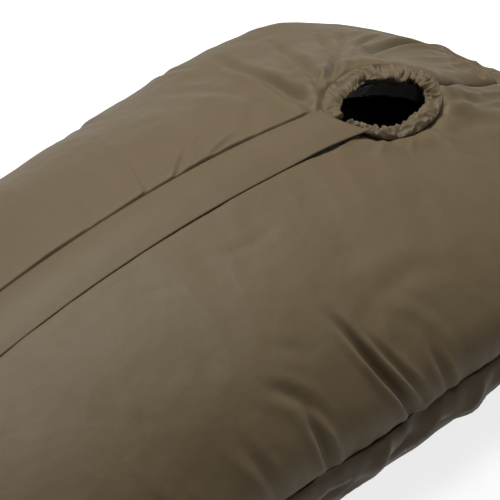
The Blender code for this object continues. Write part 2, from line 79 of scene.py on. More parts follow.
# ---- numbers on arrays ------------------------------------------------------
def ease(t: Array | float) -> Array:
    """Smooth step of t held to 0..1, three t squared less two t cubed."""
    t = np.clip(t, 0.0, 1.0)
    return t * t * (3.0 - 2.0 * t)


def bell(distance: Array | float, width: float) -> Array:
    """Bell curve, e to the minus (distance over width) squared."""
    return np.exp(-((distance / width) ** 2))


def fade(distance: Array | float, reach: float) -> Array:
    """Decay e to the minus (distance over reach), flat at 1 below nought."""
    return np.exp(-np.maximum(distance, 0.0) / reach)


def unit(vectors: Array) -> Array:
    """Vectors scaled to length 1."""
    return vectors / np.maximum(np.linalg.norm(vectors, axis=-1, keepdims=True), 1e-12)


def grid_normals(points: Array, wrap: tuple[bool, bool] = (False, False)) -> Array:
    """Unit normals of a grid: the cross product of its row step and its column step.

    Args:
        points: grid of points, rows by columns by 3.
        wrap: whether the rows and the columns run right round.

    Returns:
        Grid of unit normals.
    """
    steps = []
    for axis, closed in enumerate(wrap):
        if closed:
            steps.append(np.roll(points, -1, axis) - np.roll(points, 1, axis))
        else:
            steps.append(np.gradient(points, axis=axis))
    return unit(np.cross(steps[0], steps[1]))


class Unevenness:
    """Seeded unevenness: random heights on a lattice with smooth steps between them."""

    def __init__(self, seed: int) -> None:
        """Draw the lattice's heights, from -1 to 1."""
        self.heights = np.random.default_rng(seed).uniform(-1.0, 1.0, (256, 64))

    def at(self, u: Array, v: Array | float = 0.0, cell: tuple[float, float] = (1.0, 1.0),
           period: int = 256) -> Array:
        """Height at (u, v), from the four lattice corners round it.

        Args:
            u: first coordinate.
            v: second coordinate.
            cell: lattice spacing along u and v.
            period: number of cells after which u repeats.

        Returns:
            Heights from -1 to 1.
        """
        a, b = np.broadcast_arrays(np.asarray(u) / cell[0], np.asarray(v) / cell[1])
        i, j = np.floor(a).astype(int), np.floor(b).astype(int)
        fa, fb = ease(a - i), ease(b - j)
        low, high = i % period, (i + 1) % period
        near = self.heights[low, j % 64] * (1 - fa) + self.heights[high, j % 64] * fa
        far = self.heights[low, (j + 1) % 64] * (1 - fa) + self.heights[high, (j + 1) % 64] * fa
        return near * (1 - fb) + far * fb

    def creases(self, u: Array, v: Array | float = 0.0, cell: tuple[float, float] = (1.0, 1.0),
                period: int = 256) -> Array:
        """Sharp-crested version, 1 less twice the height's size."""
        return 1.0 - 2.4 * np.abs(self.at(u, v, cell, period))


# ---- folds ------------------------------------------------------------------
class FoldKind(Enum):
    """How the cloth stands across a fold."""

    VALLEY = "valley"
    RIDGE = "ridge"
    TUCK = "tuck"


@dataclass(frozen=True)
class Fold:
    """A fold along a smooth line on a panel, in (x, girth), with girth below 0 on the near side."""

    path: tuple[tuple[float, float], ...]
    depth: float
    width: float
    kind: FoldKind = FoldKind.VALLEY
    start: float = 0.3
    end: float = 0.3

    def line(self, count: int = 22) -> Array:
        """Points of the polynomial through the path's points, at equal steps of its order."""
        knots = np.array(self.path)
        at = np.linspace(0.0, 1.0, len(knots))
        t = np.linspace(0.0, 1.0, count)
        return np.stack([np.polyval(np.polyfit(at, knots[:, k], len(knots) - 1), t) for k in (0, 1)], -1)

    def profile(self, s: Array) -> Array:
        """Height across the fold at s widths to one side, with shoulders that make up the loss."""
        if self.kind is FoldKind.VALLEY:
            return -bell(s, 1.0) + 0.40 * bell(np.abs(s) - 2.0, 1.0)
        if self.kind is FoldKind.RIDGE:
            return bell(s, 1.0) - 0.35 * bell(np.abs(s) - 1.9, 0.9)
        return 2.3 * s * np.exp(-np.abs(s) ** 1.5)

    def relief(self, x: Array, girth: Array) -> Array:
        """Height of the fold over a panel: the profile times a strength that runs along the line.

        Args:
            x: place along the bag of each point.
            girth: signed girth of each point.

        Returns:
            Heights, in metres.
        """
        out = np.zeros(np.broadcast(x, girth).shape)
        x, girth = np.broadcast_arrays(x, girth)
        line = self.line()
        low, high = line.min(0) - 3.6 * self.width, line.max(0) + 3.6 * self.width
        near = (x > low[0]) & (x < high[0]) & (girth > low[1]) & (girth < high[1])
        if not near.any():
            return out
        places = np.stack([x[near], girth[near]], -1)[:, None, :]
        begin, step = line[:-1], np.diff(line, axis=0)
        t = np.clip(((places - begin) * step).sum(-1) / (step**2).sum(-1), 0.0, 1.0)
        away = places - (begin + t[..., None] * step)
        nearest = (away**2).sum(-1).argmin(1)
        rows = np.arange(len(nearest))
        away, t = away[rows, nearest], t[rows, nearest]
        lead = step[nearest]
        hand = np.sign(lead[:, 0] * away[:, 1] - lead[:, 1] * away[:, 0])
        along = (nearest + t) / len(begin)
        bulge = 1.0 - 0.5 * (self.start + self.end)
        strength = self.start * (1 - along) + self.end * along + bulge * 4 * along * (1 - along)
        out[near] = self.depth * strength * self.profile(hand * np.hypot(*away.T) / self.width)
        return out


# ---- meshes -----------------------------------------------------------------
def mesh_object(name: str, points: Array, faces: Array | list, chart: Array | None = None) -> Object:
    """An object with a smooth-shaded mesh, and a chart of the cloth where one is given.

    Args:
        name: name of the piece.
        points: points, count by 3.
        faces: corner numbers of each face.
        chart: place on the flat cloth of each face corner, in metres.

    Returns:
        The object, linked to the scene.
    """
    mesh = bpy.data.meshes.new(name)
    mesh.from_pydata(points.tolist(), [], faces.tolist() if isinstance(faces, np.ndarray) else faces)
    mesh.polygons.foreach_set("use_smooth", np.ones(len(mesh.polygons), bool))
    if chart is not None:
        layer = mesh.uv_layers.new(name="cloth")
        layer.data.foreach_set("uv", chart.astype(np.float32).ravel())
    mesh.update()
    item = bpy.data.objects.new(name, mesh)
    bpy.context.scene.collection.objects.link(item)
    return item


def grid_object(name: str, points: Array, chart: tuple[Array, Array],
                wrap: tuple[bool, bool] = (False, False), flip: bool = False,
                keep: Array | None = None) -> Object:
    """A grid of points as quads, facing along row step cross column step.

    Args:
        name: name of the piece.
        points: grid, rows by columns by 3.
        chart: place on the cloth of each row and of each column, in metres.
        wrap: whether the rows and the columns run right round.
        flip: turns the faces round.
        keep: which quads are kept, where some are cut away.

    Returns:
        The object.
    """
    rows, columns = points.shape[:2]
    r, c = np.meshgrid(np.arange(rows - 1 + wrap[0]), np.arange(columns - 1 + wrap[1]), indexing="ij")
    r, c = r.ravel(), c.ravel()
    if keep is not None:
        r, c = r[keep.ravel()], c[keep.ravel()]
    order = ((0, 0), (0, 1), (1, 1), (1, 0)) if flip else ((0, 0), (1, 0), (1, 1), (0, 1))
    faces = np.stack([((r + a) % rows) * columns + (c + b) % columns for a, b in order], -1)
    across, along = (np.append(axis, 2 * axis[-1] - axis[-2]) for axis in chart)
    corners = np.stack([np.stack([across[r + a], along[c + b]], -1) for a, b in order], 1)
    used, renamed = np.unique(faces, return_inverse=True)
    return mesh_object(name, points.reshape(-1, 3)[used], renamed.reshape(faces.shape), corners)


def repeat_object(name: str, shape: Array, faces: Array, places: Array, frames: Array) -> Object:
    """One small shape set down many times: place plus frame times shape.

    Args:
        name: name of the piece.
        shape: points of the small shape.
        faces: its faces.
        places: where each one goes, count by 3.
        frames: its three axes there, count by 3 by 3, an axis to a row.

    Returns:
        The object.
    """
    points = places[:, None, :] + shape @ frames
    many = faces[None] + (np.arange(len(places)) * len(shape))[:, None, None]
    return mesh_object(name, points.reshape(-1, 3), many.reshape(-1, faces.shape[1]))


def tube_grid(path: Array, radius: Array | float, sides: int, up: Array) -> Array:
    """Grid of circles round a path: path plus radius times (side cos + up sin).

    Args:
        path: points along the middle.
        radius: radius, one or one for each point.
        sides: points round each circle.
        up: direction that the circles' first axis is square to.

    Returns:
        Grid, points of the path by sides by 3.
    """
    lead = unit(np.gradient(path, axis=0))
    side = unit(np.cross(lead, up))
    top = np.cross(side, lead)
    turn = np.linspace(0.0, 2 * np.pi, sides, endpoint=False)[None, :, None]
    size = np.broadcast_to(np.asarray(radius, float), (len(path),))[:, None, None]
    return path[:, None, :] + size * (side[:, None, :] * np.cos(turn) + top[:, None, :] * np.sin(turn))


def stitches(name: str, path: Array, up: Array, pitch: float = 0.0042, length: float = 0.0030,
             thick: float = 0.00055) -> Object:
    """A row of stitches: spindles of six corners laid at equal steps along a path.

    Args:
        name: name of the row.
        path: points that the thread follows, on the cloth.
        up: the cloth's normal at each point.
        pitch: distance from one stitch to the next.
        length: length of a stitch.
        thick: thickness of the thread.

    Returns:
        The object.
    """
    run = np.append(0.0, np.cumsum(np.linalg.norm(np.diff(path, axis=0), axis=1)))
    at = np.arange(pitch / 2, run[-1], pitch)
    middle = np.stack([np.interp(at, run, path[:, k]) for k in range(3)], -1)
    normal = unit(np.stack([np.interp(at, run, up[:, k]) for k in range(3)], -1))
    ahead = np.stack([np.interp(at + 1e-3, run, path[:, k]) for k in range(3)], -1)
    back = np.stack([np.interp(at - 1e-3, run, path[:, k]) for k in range(3)], -1)
    lead = unit(ahead - back)
    frames = np.stack([lead, unit(np.cross(normal, lead)), normal], 1)
    half, wide = length / 2, thick / 2
    ring = [(px, py, pz) for px in (-half * 0.55, half * 0.55)
            for py, pz in ((-wide, 0.0), (0.0, -wide), (wide, 0.0), (0.0, wide))]
    shape = np.array([*ring, (-half, 0.0, -wide), (half, 0.0, -wide)])
    faces = [(i, (i + 1) % 4, (i + 1) % 4 + 4) for i in range(4)]
    faces += [(i, (i + 1) % 4 + 4, i + 4) for i in range(4)]
    faces += [((i + 1) % 4, i, 8) for i in range(4)]
    faces += [(i + 4, (i + 1) % 4 + 4, 9) for i in range(4)]
    return repeat_object(name, shape, np.array(faces)[:, ::-1], middle, frames)


# ---- materials --------------------------------------------------------------
class Wire:
    """A socket that carries a number, with arithmetic that adds Math nodes."""

    def __init__(self, graph: Graph, socket: bpy.types.NodeSocket) -> None:
        """Hold the socket and its graph."""
        self.graph = graph
        self.socket = socket

    def math(self, operation: str, first: object, second: object, clamp: bool = False) -> Wire:
        """A Math node on two values."""
        return self.graph.node("ShaderNodeMath", {"operation": operation, "use_clamp": clamp},
                               {0: first, 1: second})

    def __add__(self, other: object) -> Wire:
        """Sum."""
        return self.math("ADD", self, other)

    def __sub__(self, other: object) -> Wire:
        """Difference."""
        return self.math("SUBTRACT", self, other)

    def __mul__(self, other: object) -> Wire:
        """Product."""
        return self.math("MULTIPLY", self, other)

    def __rsub__(self, other: object) -> Wire:
        """Difference, the other way round."""
        return self.math("SUBTRACT", other, self)

    __radd__ = __add__
    __rmul__ = __mul__


class Graph:
    """The node graph of one material."""

    def __init__(self, name: str) -> None:
        """Make an empty material graph."""
        self.material = bpy.data.materials.new(name)
        self.material.use_nodes = True
        self.tree = self.material.node_tree
        self.tree.nodes.clear()

    def node(self, kind: str, settings: Mapping[str, object] | None = None,
             values: Mapping[str | int, object] | None = None, output: int | str = 0) -> Wire:
        """Add a node, set it, and fill or link its sockets.

        Args:
            kind: the node's type.
            settings: its settings, set first; "stops" are a ramp's (place, colour) pairs.
            values: socket name or number to a value or a wire.
            output: the socket that comes back.

        Returns:
            The chosen output.
        """
        node = self.tree.nodes.new(kind)
        for key, value in (settings or {}).items():
            if key == "stops":
                ramp = node.color_ramp.elements
                while len(ramp) < len(value):
                    ramp.new(1.0)
                for stop, (place, colour) in zip(ramp, value):
                    stop.position = place
                    stop.color = colour
            else:
                setattr(node, key, value)
        for key, value in (values or {}).items():
            if isinstance(value, Wire):
                self.tree.links.new(value.socket, node.inputs[key])
            else:
                node.inputs[key].default_value = value
        return Wire(self, node.outputs[output] if len(node.outputs) else None)

    def place(self, source: str = "Object", scale: tuple[float, float, float] = (1.0, 1.0, 1.0)) -> Wire:
        """Object or UV coordinates, through a Mapping node."""
        at = self.node("ShaderNodeTexCoord", output=source)
        return self.node("ShaderNodeMapping", values={"Vector": at, "Scale": scale})

    def noise(self, at: Wire, scale: float, detail: float = 2.0, roughness: float = 0.5) -> Wire:
        """Noise from about 0.25 to 0.75."""
        return self.node("ShaderNodeTexNoise", values={"Vector": at, "Scale": scale, "Detail": detail,
                                                       "Roughness": roughness})

    def bands(self, at: Wire, direction: str, pitch: float) -> Wire:
        """Even bands from 0 to 1, one to a pitch, in metres."""
        settings = {"wave_type": "BANDS", "bands_direction": direction, "wave_profile": "SIN"}
        return self.node("ShaderNodeTexWave", settings, {"Vector": at, "Scale": 2 * math.pi / (20 * pitch)},
                         "Fac")

    def blend(self, factor: Wire, first: Sequence[float], second: Sequence[float] | Wire) -> Wire:
        """Mix of two colours."""
        values = {0: factor, 6: (*first, 1.0) if not isinstance(first, Wire) else first,
                  7: (*second, 1.0) if not isinstance(second, Wire) else second}
        return self.node("ShaderNodeMix", {"data_type": "RGBA"}, values, 2)

    def bump(self, height: Wire, distance: float, strength: float = 1.0, normal: Wire | None = None) -> Wire:
        """Bump of a height, over a distance in metres."""
        values = {"Height": height, "Distance": distance, "Strength": strength}
        if normal is not None:
            values["Normal"] = normal
        return self.node("ShaderNodeBump", values=values)

    def finish(self, values: Mapping[str, object]) -> bpy.types.Material:
        """Close the graph with a Principled shader."""
        shader = self.node("ShaderNodeBsdfPrincipled", values=values)
        self.node("ShaderNodeOutputMaterial", values={"Surface": shader})
        return self.material


@dataclass(frozen=True)
class Cloth:
    """A woven face cloth: tone, broad mottling, weave and fine crumple."""

    name: str
    colour: tuple[float, float, float]
    rough: float = 0.60
    sheen: float = 0.05
    mottle: float = 0.07
    weave: float = 0.0011
    crumple: float = 0.00045

    def make(self) -> bpy.types.Material:
        """Colour varies with two noises and the weave; bump adds crumple, puckers and weave."""
        g = Graph(self.name)
        at, chart = g.place(), g.place("UV")
        broad, fine = g.noise(at, 4.0, 3.0), g.noise(at, 38.0, 4.0, 0.6)
        warp, weft = g.bands(chart, "X", self.weave), g.bands(chart, "Y", self.weave)
        dark = tuple(v * (1 - self.mottle) for v in self.colour)
        light = tuple(min(1.0, v * (1 + self.mottle)) for v in self.colour)
        tone = broad * 1.1 + fine * 0.5 + warp * weft * 0.12 - 0.33
        crumpled = g.noise(g.place("Object", (1.0, 2.2, 2.2)), 24.0, 3.0, 0.5)
        soft = g.bump(crumpled, self.crumple * 2.0, 0.7)
        small = g.noise(g.place("Object", (2.6, 1.0, 1.0)), 46.0, 3.0, 0.6)
        puckered = g.bump(small, self.crumple * 1.6, 0.55, soft)
        normal = g.bump(warp * weft, self.weave * 0.12, 0.5, puckered)
        rough = fine * 0.12 + (self.rough - 0.06)
        return g.finish({"Base Color": g.blend(tone, dark, light), "Roughness": rough,
                         "Sheen Weight": self.sheen, "Sheen Roughness": 0.45, "Specular IOR Level": 0.14,
                         "Normal": normal})


@dataclass(frozen=True)
class Metal:
    """Dull plated metal with faint scratches and worn, lighter patches."""

    name: str
    colour: tuple[float, float, float] = (0.42, 0.41, 0.39)

    def make(self) -> bpy.types.Material:
        """Noise stretched along x scratches it; a broad noise wears it."""
        g = Graph(self.name)
        at = g.place()
        scratch = g.noise(g.place("Object", (200.0, 3000.0, 3000.0)), 1.0, 2.0)
        wear = g.noise(at, 260.0, 3.0)
        return g.finish({"Base Color": g.blend(wear, tuple(v * 0.75 for v in self.colour), self.colour),
                         "Metallic": 1.0, "Roughness": scratch * 0.25 + 0.22,
                         "Normal": g.bump(scratch, 0.00004, 0.6)})


@dataclass(frozen=True)
class Pile:
    """Hook or loop pile, braid, tape or thread: a fine knobbly dark finish."""

    name: str
    colour: tuple[float, float, float]
    grain: float = 900.0
    rise: float = 0.0004
    rough: float = 0.85

    def make(self) -> bpy.types.Material:
        """Cell noise gives the knobs; their hollows are darker."""
        g = Graph(self.name)
        at = g.place()
        knobs = g.node("ShaderNodeTexVoronoi", {"feature": "F1"},
                       {"Vector": at, "Scale": self.grain}, "Distance")
        tone = g.noise(at, 120.0, 3.0) * 0.6 + knobs * 0.5
        return g.finish({"Base Color": g.blend(tone, tuple(v * 0.55 for v in self.colour),
                                               tuple(min(1.0, v * 1.5) for v in self.colour)),
                         "Roughness": knobs * 0.1 + (self.rough - 0.05), "Sheen Weight": 0.2,
                         "Normal": g.bump(1.0 - knobs, self.rise, 0.8)})


@dataclass(frozen=True)
class Finishes:
    """The bag's materials, each made once."""

    shell: bpy.types.Material
    base: bpy.types.Material
    liner: bpy.types.Material
    thread: bpy.types.Material
    tape: bpy.types.Material
    coil: bpy.types.Material
    metal: bpy.types.Material
    pile: bpy.types.Material
    braid: bpy.types.Material

    @classmethod
    def make(cls) -> Finishes:
        """Make them all."""
        return cls(
            shell=Cloth("olive_microfibre", (0.0560, 0.0398, 0.0200)).make(),
            # The base and foot cloth is the shell's olive made darker: painted shade of the underside, carried
            # onto the foot too.
            base=Cloth("olive_base_cloth_painted_shade", (0.0400, 0.0288, 0.0155), rough=0.62, mottle=0.09).make(),
            liner=Cloth("black_lining", (0.0420, 0.0395, 0.0350), rough=0.48, sheen=0.15, mottle=0.2).make(),
            thread=Pile("olive_thread", (0.058, 0.044, 0.027), 2500.0, 0.0001, 0.7).make(),
            tape=Cloth("zip_tape_weave", (0.014, 0.014, 0.014), rough=0.85, mottle=0.25, weave=0.0006).make(),
            coil=Pile("zip_coil_nylon", (0.020, 0.020, 0.020), 1500.0, 0.00003, 0.40).make(),
            metal=Metal("dull_nickel").make(),
            pile=Pile("hook_and_loop", (0.026, 0.021, 0.013), 1100.0, 0.0006, 0.95).make(),
            braid=Pile("drawcord_braid", (0.030, 0.030, 0.028), 700.0, 0.0005, 0.8).make(),
        )


def settle(item: Object, material: bpy.types.Material, replaced: Sequence[str] = (),
           body: str | None = "bag") -> Object:
    """Dress a piece, put it on its body and report it.

    Args:
        item: the piece.
        material: its material.
        replaced: CAD nodes that it stands for.
        body: body that it rides on, or None to leave it unattached.

    Returns:
        The piece.
    """
    item.data.materials.clear()
    item.data.materials.append(material)
    if body is not None:
        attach(item, body)
    if replaced:
        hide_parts(*replaced)
    LOG.info("%s: %d faces", item.name, len(item.data.polygons))
    return item


# ---- the bag's form ---------------------------------------------------------
@dataclass(frozen=True)
class BagForm:
    """Sizes of the bag's form, and the smooth surfaces that its cloth lies on."""

    crown: float
    half_width: float
    ridge_top: float
    foot: float = -1.020
    foot_tip: float = -1.075
    foot_half: float = 0.270
    shoulder: float = 0.750
    ridge_x: float = 0.095
    radius: float = 2.260
    head: float = 0.600
    head_power: float = 2.8
    crown_power: float = 3.05
    taper_power: float = 1.5
    zip_foot: float = -0.500
    foot_ease: float = 0.120
    seam_head: float = 0.188
    seam_foot: float = 0.108
    flat: float = 0.50
    rise: float = 0.800
    gap: float = 0.00015

    @classmethod
    def from_frame(cls) -> BagForm:
        """Take crown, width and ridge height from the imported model."""
        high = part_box("base_shell")[1]
        return cls(high.x, high.y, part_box("front_shell_left")[1].z)

    def wide(self, x: Array, depth: float = 0.0) -> Array:
        """Half width: a superellipse round the head, and a power curve down to the foot."""
        t = np.clip((x - self.shoulder) / (self.crown - depth - self.shoulder), 0.0, 1.0)
        head = (self.half_width - depth) * (1 - t**self.head_power) ** (1 / self.head_power)
        u = np.clip((self.shoulder - x) / (self.shoulder - self.foot_tip), 0.0, 1.0)
        body = self.half_width - (self.half_width - self.foot_half) * u**self.taper_power - depth
        return np.maximum(np.where(x > self.shoulder, head, body), self.gap)

    def seam(self, x: Array) -> Array:
        """Height of the side seam, a smooth step from head to foot."""
        fall = ease((self.ridge_x - x) / (self.ridge_x - self.foot_tip))
        return self.seam_head - (self.seam_head - self.seam_foot) * fall

    def arc(self, x: Array) -> Array:
        """Height of the ridge's circular arc."""
        return self.ridge_top - self.radius + np.sqrt(self.radius**2 - (x - self.ridge_x) ** 2)

    def ridge(self, x: Array, depth: float = 0.0) -> Array:
        """Ridge height: an arc, a parabola that eases to the foot, a superellipse over the head."""
        run = self.zip_foot - x
        foot_z = self.arc(self.zip_foot)
        slope = (self.ridge_x - self.zip_foot) / (foot_z - self.ridge_top + self.radius)
        foot = foot_z - slope * run + self.foot_ease * run**2 - depth
        u = np.clip((x - self.head) / (self.crown - depth - self.head), 0.0, 1.0)
        inset = 1 - depth / (self.arc(self.head) - self.seam_head)
        round_off = (1 - u**self.crown_power) ** (1 / self.crown_power)
        head = self.seam_head + (self.arc(x) - self.seam_head) * inset * round_off
        body = np.where(x < self.zip_foot, foot, self.arc(x) - depth)
        return np.maximum(np.where(x > self.head, head, body), self.seam(x) + self.gap)

    def height(self, x: Array, y: Array, depth: float = 0.0) -> Array:
        """Height of the top at (x, y), a quarter ellipse from the seam to the ridge."""
        low = self.seam(x) + self.gap
        share = np.clip((np.abs(y) - self.gap) / (self.wide(x, depth) - self.gap + 1e-9), 0.0, 1.0)
        return low + (self.ridge(x, depth) - low) * np.sqrt(1 - share**2)

    def base(self, x: Array, depth: float = 0.0) -> Array:
        """Height of the underside along its middle, which rises to the seam at the crown."""
        u = np.clip((x - self.rise) / (self.crown - depth - self.rise), 0.0, 1.0)
        top = self.seam(x) - self.gap
        lift = (top - depth) * (1 - (1 - u**self.head_power) ** (1 / self.head_power))
        return np.minimum(depth + lift, top)

    def lay(self, x: Array, across: Array, high: Array, start: Array, columns: int,
            crowd: float = 1.0) -> tuple[Array, Array, Array]:
        """Share a row's curve out by girth, from its start to its end.

        Args:
            x: place of each row.
            across: distance from the middle of each sample of the row's curve.
            high: height of each sample.
            start: girth at which each row begins.
            columns: number of steps across.
            crowd: power that crowds the columns towards the end. 1 instead bunches them
                beside the ridge and at the storm flap's edge, where the relief is finest.

        Returns:
            Distance across, height and girth, each rows by columns + 1.
        """
        girth = np.cumsum(np.hypot(np.diff(across, axis=1), np.diff(high, axis=1)), axis=1)
        girth = np.concatenate([np.zeros((len(x), 1)), girth], 1)
        total = np.maximum(girth[:, -1:], 1e-6)
        share = 1 - (1 - np.linspace(0.0, 1.0, columns + 1)[None]) ** crowd
        first = np.minimum(start[:, None], total * 0.9)
        shift = 2.0 * np.arange(len(x))[:, None]
        if crowd == 1.0:
            fine = first + (total - first) * np.linspace(0.0, 1.0, 600)[None]
            count = fine + 0.020 * ease(fine / 0.010) + 0.034 * ease((fine - 0.039) / 0.017)
            count = (count - count[:, :1]) / np.maximum(count[:, -1:] - count[:, :1], 1e-9)
            want = np.interp((share + shift).ravel(), (count + shift).ravel(), fine.ravel())
            want = want.reshape(len(x), columns + 1)
        else:
            want = first + (total - first) * share
        flat = (girth / total + shift).ravel()
        query = (want / total + shift).ravel()
        pick = [np.interp(query, flat, value.ravel()).reshape(want.shape) for value in (across, high)]
        return pick[0], pick[1], want

    def top_rows(self, x: Array, side: float, start: Array, columns: int,
                 depth: float = 0.0) -> tuple[Array, Array, Array]:
        """Grid of one half of the top, from the ridge down to the side seam.

        Args:
            x: place of each row.
            side: -1 for the near half, 1 for the far half.
            start: girth at which each row begins.
            columns: number of steps across.
            depth: distance inside the bag's outer surface.

        Returns:
            Points, girth from the ridge and girth left to the seam.
        """
        turn = np.linspace(np.pi / 2, 0.0, 200)[None]
        wide, low = self.wide(x, depth)[:, None], self.seam(x)[:, None] + self.gap
        across = self.gap + (wide - self.gap) * np.cos(turn)
        high = low + (self.ridge(x, depth)[:, None] - low) * np.sin(turn)
        y, z, girth = self.lay(x, across, high, start, columns)
        points = np.stack([np.broadcast_to(x[:, None], y.shape), side * y, z], -1)
        return points, girth, girth[:, -1:] - girth

    def base_rows(self, x: Array, columns: int, depth: float = 0.0) -> tuple[Array, Array]:
        """Grid of the underside, from the near seam under the bag to the far seam.

        Args:
            x: place of each row.
            columns: number of steps across each half.
            depth: distance inside the bag's outer surface.

        Returns:
            Points, and the girth from the nearer seam.
        """
        wide, low = self.wide(x, depth)[:, None], self.base(x, depth)[:, None]
        top = np.maximum(self.seam(x)[:, None] - self.gap, low)
        turn = np.linspace(0.0, np.pi / 2, 120)[None]
        level = np.linspace(1.0, 0.0, 60)[None, 1:]
        across = np.concatenate([self.flat * wide + (1 - self.flat) * wide * np.cos(turn),
                                 self.flat * wide * level], 1)
        high = np.concatenate([top - (top - low) * np.sin(turn), np.broadcast_to(low, (len(x), 59))], 1)
        backwards = self.lay(x, across[:, ::-1], high[:, ::-1], np.zeros(len(x)), columns, 1.45)
        y, z, girth = (part[:, ::-1] for part in backwards)
        left = girth[:, :1] - girth
        near = np.stack([np.broadcast_to(x[:, None], y.shape), -y, z], -1)
        far = near[:, ::-1] * np.array([1.0, -1.0, 1.0])
        return np.concatenate([near, far[:, 1:]], 1), np.concatenate([left, left[:, ::-1][:, 1:]], 1)

    def on_arc(self, x: Array, y: Array | float, lift: Array | float) -> Array:
        """Points on the ridge's arc, y across and lift outside it."""
        angle = np.arcsin((x - self.ridge_x) / self.radius)
        reach = self.radius + lift
        parts = np.broadcast_arrays(self.ridge_x + reach * np.sin(angle), y,
                                    self.ridge_top - self.radius + reach * np.cos(angle))
        return np.stack(parts, -1)

    def arc_up(self, x: Array) -> Array:
        """Outward normals of the ridge's arc."""
        angle = np.arcsin((x - self.ridge_x) / self.radius)
        return np.stack([np.sin(angle), np.zeros_like(angle), np.cos(angle)], -1)


@dataclass(frozen=True)
class FaceRing:
    """Frame of the face opening and the sizes of its gathered hem."""

    centre: tuple[float, float, float] = (0.715, 0.0, 0.3345)
    tilt: float = math.radians(16.5)
    long: float = 0.1015
    short: float = 0.0645
    half: float = 0.0150
    rise: float = 0.0062
    gap: float = 0.0090

    def local(self, points: Array) -> Array:
        """Points in the opening's frame: x to the crown, z out of the bag."""
        d = points - np.array(self.centre)
        c, s = math.cos(self.tilt), math.sin(self.tilt)
        return np.stack([d[..., 0] * c - d[..., 2] * s, d[..., 1], d[..., 0] * s + d[..., 2] * c], -1)

    def world(self, local: Array) -> Array:
        """Points of the opening's frame in the bag's frame."""
        c, s = math.cos(self.tilt), math.sin(self.tilt)
        turned = [local[..., 0] * c + local[..., 2] * s, local[..., 1], local[..., 2] * c - local[..., 0] * s]
        return np.stack(turned, -1) + np.array(self.centre)

    def polar(self, local: Array) -> tuple[Array, Array]:
        """Angle round the hem's centre line, and distance outside it."""
        u, v = local[..., 0] / self.long, local[..., 1] / self.short
        angle, share = np.arctan2(v, u), np.hypot(u, v)
        spoke = np.hypot(self.long * np.cos(angle), self.short * np.sin(angle))
        turned = np.hypot(self.short * np.cos(angle), self.long * np.sin(angle))
        square = self.long * self.short / (spoke * turned)
        return angle, (share - 1) * spoke * square

    def narrow(self, angle: Array) -> Array:
        """How much of its outer half the hem loses on its near side, 0 to 1."""
        return bell(np.angle(np.exp(1j * (angle + math.radians(100.0)))), math.radians(42.0))

    def outer(self, angle: Array) -> Array:
        """Distance of the hem's sewn edge outside its centre line."""
        return self.half - 0.0105 * self.narrow(angle)

    def lift(self, local: Array) -> Array:
        """How far the gathered ring stands up, more on its far and crown sides."""
        far = 0.22 * local[..., 1] * ease((local[..., 0] + 0.115) / 0.06)
        return far + 0.19 * np.maximum(local[..., 0] + 0.03, 0.0)

    def scrunch(self, angle: Array) -> Array:
        """How tightly the hem is bunched: loosest at its foot end on the far side."""
        return 1.0 - 0.70 * bell(np.angle(np.exp(1j * (angle - math.radians(140.0)))), math.radians(38.0))


# ---- relief of the panels ---------------------------------------------------
V, R, T = FoldKind.VALLEY, FoldKind.RIDGE, FoldKind.TUCK
HOOD_FOLDS = (
    Fold(((1.074, 0.050), (1.066, 0.150), (1.040, 0.245), (0.960, 0.350)), 0.0110, 0.0450, V, 0.7, 0.5),
    Fold(((1.035, 0.150), (0.965, 0.163), (0.905, 0.158), (0.830, 0.135)), 0.013, 0.0095, V, 1.1, 0.5),
    Fold(((0.985, 0.215), (0.900, 0.200), (0.835, 0.160)), 0.0045, 0.0055, V, 0.3, 0.3),
    Fold(((1.030, 0.116), (1.005, 0.064), (0.982, 0.018)), 0.0130, 0.0058, V, 0.2, 0.4),
    Fold(((1.050, 0.076), (1.034, 0.040), (1.018, 0.004)), 0.0100, 0.0052, V, 0.2, 0.5),
    Fold(((0.830, -0.019), (0.887, -0.026), (0.938, -0.055)), 0.0025, 0.009, V, 0.8, 0.0),
    Fold(((0.828, -0.040), (0.890, -0.060), (0.950, -0.100)), 0.0020, 0.012, V, 0.6, 0.0),
    Fold(((0.700, 0.340), (0.645, 0.200), (0.612, 0.055)), 0.0080, 0.0100, V, 0.15, 0.9),
    Fold(((0.800, 0.310), (0.715, 0.165), (0.662, 0.086)), 0.0080, 0.0080, V, 0.15, 0.9),
    Fold(((0.871, 0.270), (0.771, 0.150), (0.687, 0.091)), 0.0085, 0.0065, V, 0.15, 0.9),
    Fold(((0.903, 0.250), (0.811, 0.165), (0.705, 0.097)), 0.0065, 0.0070, V, 0.15, 0.9),
    Fold(((0.540, 0.320), (0.575, 0.180), (0.600, 0.056)), 0.0035, 0.0200, V, 0.1, 0.8),
    Fold(((0.811, 0.146), (0.759, 0.112)), 0.004, 0.007, V, 0.2, 0.9),
    Fold(((0.640, 0.200), (0.628, 0.130), (0.625, 0.070)), 0.004, 0.010, V, 0.1, 0.9),
    Fold(((0.760, -0.095), (0.830, -0.100), (0.890, -0.125)), 0.0030, 0.016, V, 0.7, 0.0),
    Fold(((0.680, -0.090), (0.720, -0.130), (0.780, -0.190)), 0.0025, 0.016, V, 0.7, 0.0),
    Fold(((0.300, -0.330), (0.420, -0.300), (0.520, -0.330)), 0.0022, 0.018),
)
